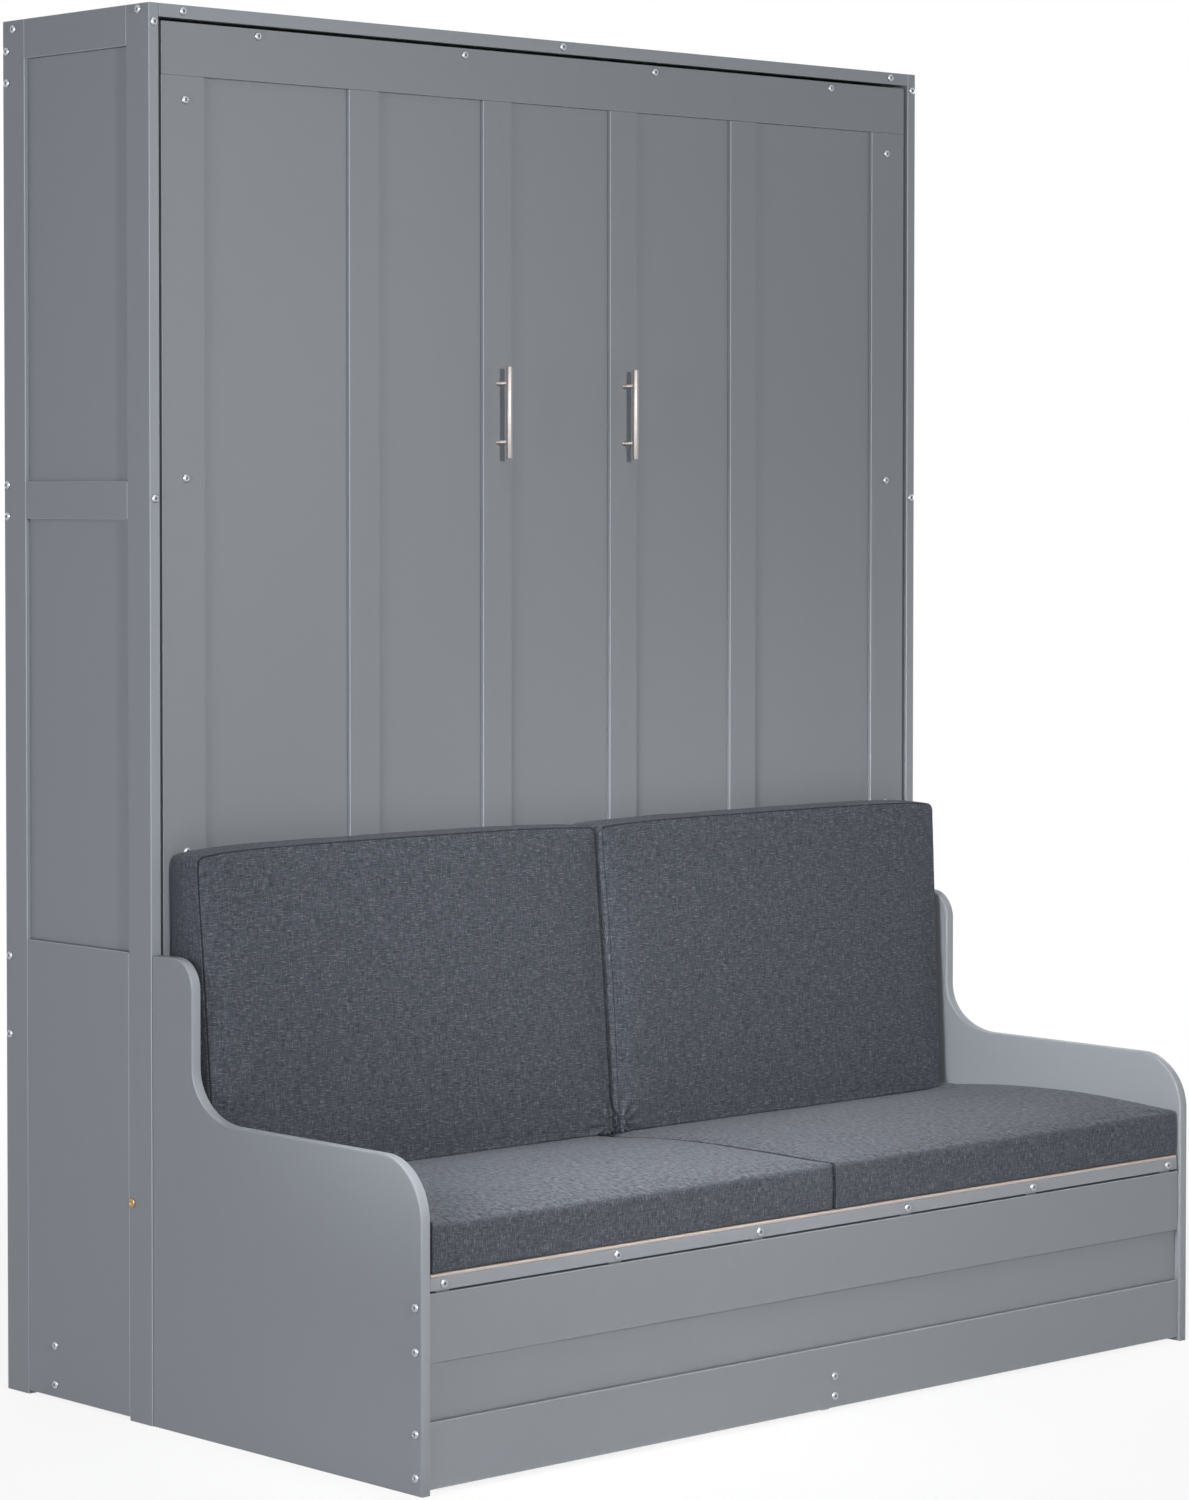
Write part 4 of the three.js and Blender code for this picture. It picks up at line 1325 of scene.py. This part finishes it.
@dataclass
class BoxCushion:
    """A stuffed box cushion: two panels sewn to a band, swelled by a cloth simulation.

    Its own axes are a and b in the panels and c through the band; order says which of x, y
    and z each of them is.
    """

    side: Side
    kind: str
    order: tuple[int, int, int]
    radii: tuple[float, float, float, float]
    edge: float
    cap: float
    fill: float
    seam_depth: float = 0.9 * MM
    seam_width: float = 1.7 * MM
    welt: Pair = (4.6 * MM, 2.4 * MM)
    welt_share: float = 0.3
    lumps: Sequence[Pair] = ((0.9 * MM, 9.0), (0.35 * MM, 31.0))
    hidden_seam: float = 0.0
    pull: float = 1.2 * MM
    press: float = 5 * MM
    pitch: float = 11 * MM
    near: Sequence[float] = (0.0, 1.6 * MM, 3.4 * MM, 6 * MM, 10 * MM, 16 * MM, 24 * MM)
    start_inset: float = 0.5 * MM

    def __post_init__(self) -> None:
        self.node = f"{self.kind}_cushion_{self.side.word}"
        self.low, self.high = corners(self.node)
        lengths = self.high - self.low
        self.sizes = [lengths[axis] - 2 * self.start_inset for axis in self.order]
        self.rest: np.ndarray | None = None
        self.object: bpy.types.Object | None = None

    def shaped(self, places: np.ndarray) -> np.ndarray:
        """Gives the plain rounded box the cushion's own shape."""
        raise NotImplementedError

    def folds(self, places: np.ndarray) -> np.ndarray:
        """How deep the folds of a pucker are at each place."""
        return np.zeros(len(places))

    def shares(self, places: np.ndarray) -> np.ndarray:
        """Places as shares of the half size, -1 to 1, with x running to the outer end."""
        low, high = np.array(self.low), np.array(self.high)
        unit = (places - (low + high) / 2) / ((high - low) / 2)
        return (unit * (self.side.value, 1, 1)).T

    def _eased(self, a: float, b: float, c: float) -> Triple:
        """Moves a point of the plain box onto the rounded one.

        Args:
            a: Place along a from the middle.
            b: Place along b from the middle.
            c: Place along c from the middle.

        Returns:
            The rounded place.
        """
        half_a, half_b, half_c = (size / 2 for size in self.sizes)
        inset = wanted = min(half_a - abs(a), half_b - abs(b))
        rise = half_c - abs(c)
        on_panel = rise < TOUCHING and inset < self.edge
        on_band = inset < TOUCHING and rise < self.edge
        if on_panel or on_band:
            turn = math.pi / 4 * (1 + (inset if on_panel else -rise) / self.edge)
            wanted = self.edge * (1 - math.cos(turn))
            c = math.copysign(half_c - self.edge * (1 - math.sin(turn)), c)
        radius = self.radii[(2 if b > 0 else 0) + (1 if a > 0 else 0)]
        over_a, over_b = abs(a) - (half_a - radius), abs(b) - (half_b - radius)
        if over_a > 0 and over_b > 0:
            reach = max(radius - wanted, 0.0) / math.hypot(over_a, over_b)
            a = math.copysign(half_a - radius + over_a * reach, a)
            b = math.copysign(half_b - radius + over_b * reach, b)
        elif half_a - abs(a) <= half_b - abs(b):
            a = math.copysign(abs(a) + inset - wanted, a)
        else:
            b = math.copysign(abs(b) + inset - wanted, b)
        return a, b, c

    def make(self) -> None:
        """Makes the cushion's cover, before it is stuffed."""
        steps = [graded_steps(size, self.near, self.pitch) for size in self.sizes]
        last = [len(places) - 1 for places in steps]
        halves = [size / 2 for size in self.sizes]
        points: dict[tuple[int, int, int], int] = {}
        local, seams = [], []
        for i, a in enumerate(steps[0]):
            for j, b in enumerate(steps[1]):
                rim = i in (0, last[0]) or j in (0, last[1])
                inset = min(halves[0] - abs(a), halves[1] - abs(b))
                for k in range(last[2] + 1) if rim else (0, last[2]):
                    c = steps[2][k]
                    points[i, j, k] = len(local)
                    local.append(self._eased(a, b, c))
                    away = max(inset, halves[2] - abs(c))
                    seams.append(away if i else away + self.hidden_seam)
        faces, flat = self._faces(points, steps, last)
        placed = np.empty((len(local), 3))
        placed[:, list(self.order)] = local
        self.rest = self.shaped(placed + np.array((self.low + self.high) / 2))
        name = f"{self.node}_linen"
        data = bpy.data.meshes.new(name)
        data.from_pydata([tuple(place) for place in self.rest], [], faces)
        layer = data.uv_layers.new(name="cloth")
        layer.data.foreach_set("uv", np.array(flat, np.float32).ravel())
        seam = data.attributes.new("seam", "FLOAT", "POINT")
        seam.data.foreach_set("value", np.array(seams, np.float32))
        mesh = bmesh.new()
        mesh.from_mesh(data)
        bmesh.ops.recalc_face_normals(mesh, faces=mesh.faces)
        for face in mesh.faces:
            face.smooth = True
        mesh.to_mesh(data)
        mesh.free()
        data.materials.append(CLOTH.material())
        self.object = linked(name, data)

    @staticmethod
    def _faces(points: dict, steps: list, last: list) -> tuple[list, list]:
        """The faces over the box's surface, and where each corner lies on the flat cloth.

        Args:
            points: The index of each grid point.
            steps: Places along the three axes.
            last: The last index along each axis.

        Returns:
            The faces, and one flat place for each of their corners.
        """
        apart, behind = 1.7, 0.9
        faces, flat = [], []
        for across, first, second in ((2, 0, 1), (0, 1, 2), (1, 0, 2)):
            for level in (0, last[across]):
                shift = apart * (across + 1) + behind * (level > 0)
                for m in range(last[first]):
                    for n in range(last[second]):
                        face = []
                        for u, v in ((m, n), (m + 1, n), (m + 1, n + 1), (m, n + 1)):
                            key = [0, 0, 0]
                            key[across], key[first], key[second] = level, u, v
                            face.append(points[tuple(key)])
                            flat.append((steps[first][u] + shift, steps[second][v] + shift))
                        faces.append(face)
        return faces, flat

    def stuff(self) -> None:
        """Adds the cloth that swells the cover."""
        cloth = self.object.modifiers.new("Stuffing", "CLOTH")
        values = {
            "quality": 4, "mass": 0.25, "use_pressure": True, "uniform_pressure_force": 1.5,
            "tension_stiffness": 18, "compression_stiffness": 18, "shear_stiffness": 8,
            "bending_stiffness": 1.5, "shrink_min": -0.012,
        }
        for name, value in values.items():
            setattr(cloth.settings, name, value)
        cloth.settings.effector_weights.gravity = 0
        cloth.collision_settings.use_self_collision = False
        cloth.point_cache.frame_start = 1
        cloth.point_cache.frame_end = CLOTH_FRAMES

    def settle(self) -> None:
        """Takes the simulated shape, within what a firm foam lets it move, off the modifier."""
        places = self.rest
        if self.object.modifiers:
            view = bpy.context.evaluated_depsgraph_get()
            moved = rows(self.object.evaluated_get(view).to_mesh().vertices, "co")
            outward = rows(self.object.data.vertex_normals, "vector")
            drift = moved - self.rest
            swells = np.sum(drift * outward, axis=1, keepdims=True) > 0
            cap = np.where(swells, self.cap, self.pull)
            length = np.linalg.norm(drift, axis=1, keepdims=True)
            places = self.rest + drift * (cap / (cap + length))
            self.object.modifiers.clear()
        below = np.array((0.0, 0.0, self.press))
        places = np.clip(places, np.array(self.low) - below, np.array(self.high))
        self.object.data.vertices.foreach_set("co", places.ravel())
        finer = self.object.modifiers.new("Finer", "SUBSURF")
        finer.levels = finer.render_levels = 1
        settled_mesh(self.object)

    def sew(self) -> None:
        """Sinks the seams and adds lumps and the folds that run out from the corners."""
        data = self.object.data
        places, normals = rows(data.vertices, "co"), rows(data.vertex_normals, "vector")
        seam = np.empty(len(places))
        data.attributes["seam"].data.foreach_get("value", seam)
        welt, width = self.welt
        sink = self.seam_depth * np.exp(-((seam / self.seam_width) ** 2))
        sink -= self.welt_share * self.seam_depth * np.exp(-(((seam - welt) / width) ** 2))
        for index, place in enumerate(places):
            spot = Vector(place)
            sink[index] += sum(depth * noise.noise(spot * scale) for depth, scale in self.lumps)
        sink += self.folds(places)
        data.vertices.foreach_set("co", (places - normals * sink[:, None]).ravel())
        data.update()

    def declare(self) -> None:
        """Hides the cushion's node and sets the cushion on the body it rides on."""
        fasten(self.object, f"{self.side.word}_{self.kind}_cushion", Slot.FABRIC, self.node)


@dataclass
class SeatCushion(BoxCushion):
    """A seat cushion, crowned in front of the back cushion, whose inner end droops."""

    kind: str = "seat"
    order: tuple[int, int, int] = (1, 2, 0)
    radii: tuple[float, float, float, float] = (3 * MM, 8 * MM, 8 * MM, 10 * MM)
    edge: float = 3 * MM
    cap: float = 4 * MM
    fill: float = 0.85
    seam_depth: float = 0.5 * MM
    front_rise: float = 7 * MM
    crown: float = 18 * MM
    full: float = 21.7 * MM
    under_back: float = 12 * MM
    droop_share: float = 0.7
    droop_power: int = 4
    ear_share: float = 0.12
    ear: Pair = (13 * MM, 3 * MM)
    pinch: float = 1 * MM

    def shaped(self, places: np.ndarray) -> np.ndarray:
        """Gives the plain rounded box the cushion's own shape.

        Args:
            places: The cushion's points.

        Returns:
            The points in their new places.
        """
        x, y, z = self.shares(places)
        rear = corners("back_cushion_left")[0].y - self.under_back
        middle, half = (self.low.y + rear) / 2, (rear - self.low.y) / 2
        across = np.clip((places[:, 1] - middle) / half, -1, 1)
        behind, ahead = (np.clip(share, 0, 1) ** 2 for share in (across, -across))
        droop = 1 - self.droop_share * ((1 - x) / 2) ** self.droop_power
        rise = self.front_rise * (1 - across) / 2 + self.crown * droop * (1 - across ** 2)
        rise -= self.press * behind
        ear = np.clip((x - (1 - self.ear_share)) / self.ear_share, 0, 1) ** 2
        rise += ear * (self.ear[0] * behind + self.ear[1] * ahead)
        moved = places.copy()
        moved[:, 2] -= (z + 1) / 2 * (self.full - rise)
        moved[:, 0] -= self.side.value * x * self.pinch * (1 - y ** 2)
        return moved


@dataclass
class BackCushion(BoxCushion):
    """A back cushion, thicker at the seat than at the top, with a puckered lower inner corner.

    Pairs of sizes are those at the seat and at the top.
    """

    kind: str = "back"
    order: tuple[int, int, int] = (0, 2, 1)
    radii: tuple[float, float, float, float] = (5 * MM, 5 * MM, 14 * MM, 14 * MM)
    edge: float = 4 * MM
    cap: float = 5 * MM
    fill: float = 0.8
    taper: float = 46.5 * MM
    crown: float = 7 * MM
    set_back: Pair = (8 * MM, 8 * MM)
    bulge: Pair = (7 * MM, 7 * MM)
    tuck: float = 0.0
    sag: float = 7 * MM
    corner_drop: float = 5 * MM
    lean: float = 0.0
    lean_shares: Pair = (1.4, 0.6)
    inner_power: int = 12
    outer_power: int = 6
    pucker_inset: float = 14 * MM
    pucker_reach: float = 32 * MM
    pucker_depth: float = 5.5 * MM
    pucker_folds: float = 10.0
    pucker_eye: float = 0.12

    def shaped(self, places: np.ndarray) -> np.ndarray:
        """Gives the plain rounded box the cushion's own shape.

        Args:
            places: The cushion's points.

        Returns:
            The points in their new places.
        """
        x, y, z = self.shares(places)
        sign = self.side.value
        forward, lower = (1 - y) / 2, (1 - z) / 2
        swell = (1 - x ** 4) * (1 - z ** 2)
        inner_end, outer_end = ((1 - x) / 2) ** self.inner_power, ((1 + x) / 2) ** self.outer_power
        most, less = self.lean_shares
        set_back, bulge = (
            pair[0] * lower + pair[1] * (1 - lower) for pair in (self.set_back, self.bulge)
        )
        moved = places.copy()
        moved[:, 1] += forward * (self.taper * (z + 1) / 2 - self.crown * swell + outer_end * set_back)
        moved[:, 0] -= sign * outer_end * (self.tuck * lower + bulge * y ** 2)
        drop = np.where(x > 0, self.sag, self.crown)
        moved[:, 2] -= np.clip(z, 0, 1) * (drop * x ** 4 + self.corner_drop * outer_end ** 4)
        moved[:, 2] -= self.press * np.clip(-z, 0, 1) ** 2
        near_front = forward ** self.inner_power
        moved[:, 0] += self.lean * (most - less * z ** 2) * near_front * inner_end
        return moved

    def folds(self, places: np.ndarray) -> np.ndarray:
        """How deep the folds of a pucker are at each place.

        Args:
            places: The cushion's points.

        Returns:
            One depth for each of them.
        """
        inset, reach = self.pucker_inset, self.pucker_reach
        x = self.side.inner(self.node) + self.side.value * inset
        away = places - np.array((x, self.low.y, self.low.z + inset))
        distance = np.linalg.norm(away, axis=1)
        angle = np.arctan2(away[:, 2], away[:, 0])
        fade = np.exp(-((distance / reach) ** 2)) * np.clip(distance / (self.pucker_eye * reach), 0, 1)
        return self.pucker_depth * np.sin(angle * self.pucker_folds) * fade


def build_cushions() -> None:
    """Makes all four cushions, simulating them together."""
    right = {
        "lean": 11 * MM, "set_back": (9 * MM, -6 * MM), "tuck": 7 * MM, "sag": 3 * MM,
        "bulge": (7 * MM, 1 * MM), "hidden_seam": 1.7 * MM,
    }
    cushions = [SeatCushion(Side.LEFT), BackCushion(Side.LEFT)]
    cushions += [SeatCushion(Side.RIGHT), BackCushion(Side.RIGHT, **right)]
    for cushion in cushions:
        cushion.make()
    for cushion in cushions:
        cushion.stuff()
    for step in range(1, CLOTH_FRAMES + 1):
        bpy.context.scene.frame_set(step)
    for cushion in cushions:
        cushion.settle()
        cushion.sew()
    bpy.context.scene.frame_set(1)
    for cushion in cushions:
        cushion.declare()


@dataclass
class SoftLamp:
    """A large soft lamp that looks at one point."""

    name: str
    place: Triple
    target: Triple
    size: Pair
    power: float
    spread: float = 180.0
    tint: Colour = (1.0, 1.0, 1.0)

    def build(self) -> None:
        """Makes the lamp."""
        light = bpy.data.lights.new(self.name, "AREA")
        light.shape = "RECTANGLE"
        light.size, light.size_y = self.size
        light.energy = self.power
        light.color = self.tint
        light.spread = math.radians(self.spread)
        lamp = linked(self.name, light)
        lamp.location = self.place
        lamp.visible_camera = False
        look = Vector(self.target) - Vector(self.place)
        lamp.rotation_euler = look.to_track_quat("-Z", "Y").to_euler()


@dataclass
class Studio:
    """The pale floor, the white surround, the lamps and the camera."""

    camera_place: Triple = (-4.8047, -5.1731, 1.4379)
    camera_yaw: float = 42.604
    camera_pitch: float = -1.827
    camera_roll: float = 0.026
    focal_pixels: float = 4309.56
    centre_pixels: Pair = (593.0, 627.82)
    picture: Pair = (1189.0, 1500.0)
    surround: float = 0.05
    floor_reach: float = 40.0
    floor_grey: Colour = (0.8, 0.8, 0.8)
    white: Colour = (1.0, 1.0, 1.0)
    glow_share: float = 0.87
    glow_ring: Pair = (1.3, 4.0)
    lamps: tuple[SoftLamp, ...] = (
        SoftLamp("key_softbox", (-1.7, -4.4, 2.1), (0.1, 0.0, 0.9), (0.25, 0.25), 123.0),
        SoftLamp(
            "left_softbox", (-4.4, -0.9, 1.5), (-0.2, 0.0, 0.9), (1.0, 1.3), 58.0,
            tint=(0.96, 0.985, 1.06),
        ),
        SoftLamp("arm_strip", (-1.7, -0.78, 1.15), (0.83, -0.3, 0.55), (0.5, 0.5), 4.0, 45.0),
        SoftLamp("seat_softbox", (-0.9, -1.0, 3.4), (-0.2, -0.4, 0.4), (1.0, 0.6), 3.4, 60.0),
        SoftLamp("top_softbox", (-0.5, -0.45, 3.6), (-0.5, -0.5, 0.4), (0.5, 0.2), 1.6, 25.0),
        SoftLamp("rear_softbox", (1.6, 5.2, 2.1), (0.0, 0.5, 1.0), (1.6, 1.6), 130.0),
        SoftLamp("right_softbox", (5.0, 0.9, 1.6), (0.8, 0.2, 1.0), (1.4, 1.6), 90.0),
    )

    def _camera(self) -> None:
        """Sets the camera as the photograph was taken."""
        wide, tall = self.picture
        data = bpy.data.cameras.new("camera")
        data.sensor_width = 36.0
        data.lens = self.focal_pixels / tall * data.sensor_width
        data.shift_x = (wide / 2 - self.centre_pixels[0]) / tall
        data.shift_y = (self.centre_pixels[1] - tall / 2) / tall
        data.clip_end = 200.0
        made = linked("camera", data)
        turn = Matrix.Rotation(math.radians(-self.camera_yaw), 4, "Z")
        tilt = Matrix.Rotation(math.radians(90 + self.camera_pitch), 4, "X")
        roll = Matrix.Rotation(math.radians(self.camera_roll), 4, "Z")
        made.matrix_world = Matrix.Translation(self.camera_place) @ turn @ tilt @ roll
        bpy.context.scene.camera = made

    def _surround(self) -> None:
        """Makes the world: white where it is seen, softer as light."""
        world = bpy.data.worlds.new("surround")
        graph = NodeGraph.emptied(world)
        strength = self.surround + (1 - self.surround) * graph.seen()
        inputs = {"Color": self.white, "Strength": strength}
        background = graph.node("ShaderNodeBackground", {}, inputs)
        graph.node("ShaderNodeOutputWorld", {}, {"Surface": background})
        bpy.context.scene.world = world

    def _floor(self) -> None:
        """Makes the pale floor, which keeps the object's shadow."""
        far = self.floor_reach
        data = bpy.data.meshes.new("studio_floor")
        spots = [(-far, -far, 0.0), (far, -far, 0.0), (far, far, 0.0), (-far, far, 0.0)]
        data.from_pydata(spots, [], [(0, 1, 2, 3)])
        pale = bpy.data.materials.new("studio_floor_pale")
        graph = NodeGraph.emptied(pale)
        matte = graph.node("ShaderNodeBsdfDiffuse", {}, {"Color": self.floor_grey})
        glow = graph.node("ShaderNodeEmission", {}, {"Color": self.white, "Strength": 1.0})
        length = {"operation": "LENGTH"}
        away = graph.node("ShaderNodeVectorMath", length, {0: graph.coordinate()}, "Value")
        far_share = (1 - self.glow_share) * away.between(*self.glow_ring)
        share = graph.seen() * (self.glow_share + far_share)
        lifted = graph.node("ShaderNodeMixShader", {}, {0: share, 1: matte, 2: glow})
        graph.node("ShaderNodeOutputMaterial", {}, {"Surface": lifted})
        data.materials.append(pale)
        linked("studio_floor", data)

    def build(self) -> None:
        """Makes the whole studio."""
        bpy.context.scene.view_settings.view_transform = "Standard"
        self._camera()
        self._surround()
        self._floor()
        for lamp in self.lamps:
            lamp.build()


def paint_nodes() -> None:
    """Paints every node of the model; the finer pieces then replace some of them."""
    for name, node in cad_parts.items():
        finish = NODE_FINISHES.get(name, PAINT)
        for slot in node.material_slots:
            slot.material = finish.material()
    LOG.info("painted %d boards", len(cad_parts))


def main() -> None:
    """Builds every piece."""
    logging.basicConfig(level=logging.INFO, format="%(name)s: %(message)s")
    Studio().build()
    paint_nodes()
    TopJoint().build()
    for side in Side:
        for piece in (Arm, Handle, PivotBolt, GasStrut, FootLeg):
            piece(side).build()
    SlatRoll().build()
    ScrewSet().build()
    build_cushions()


if __name__ == "__main__":
    main()
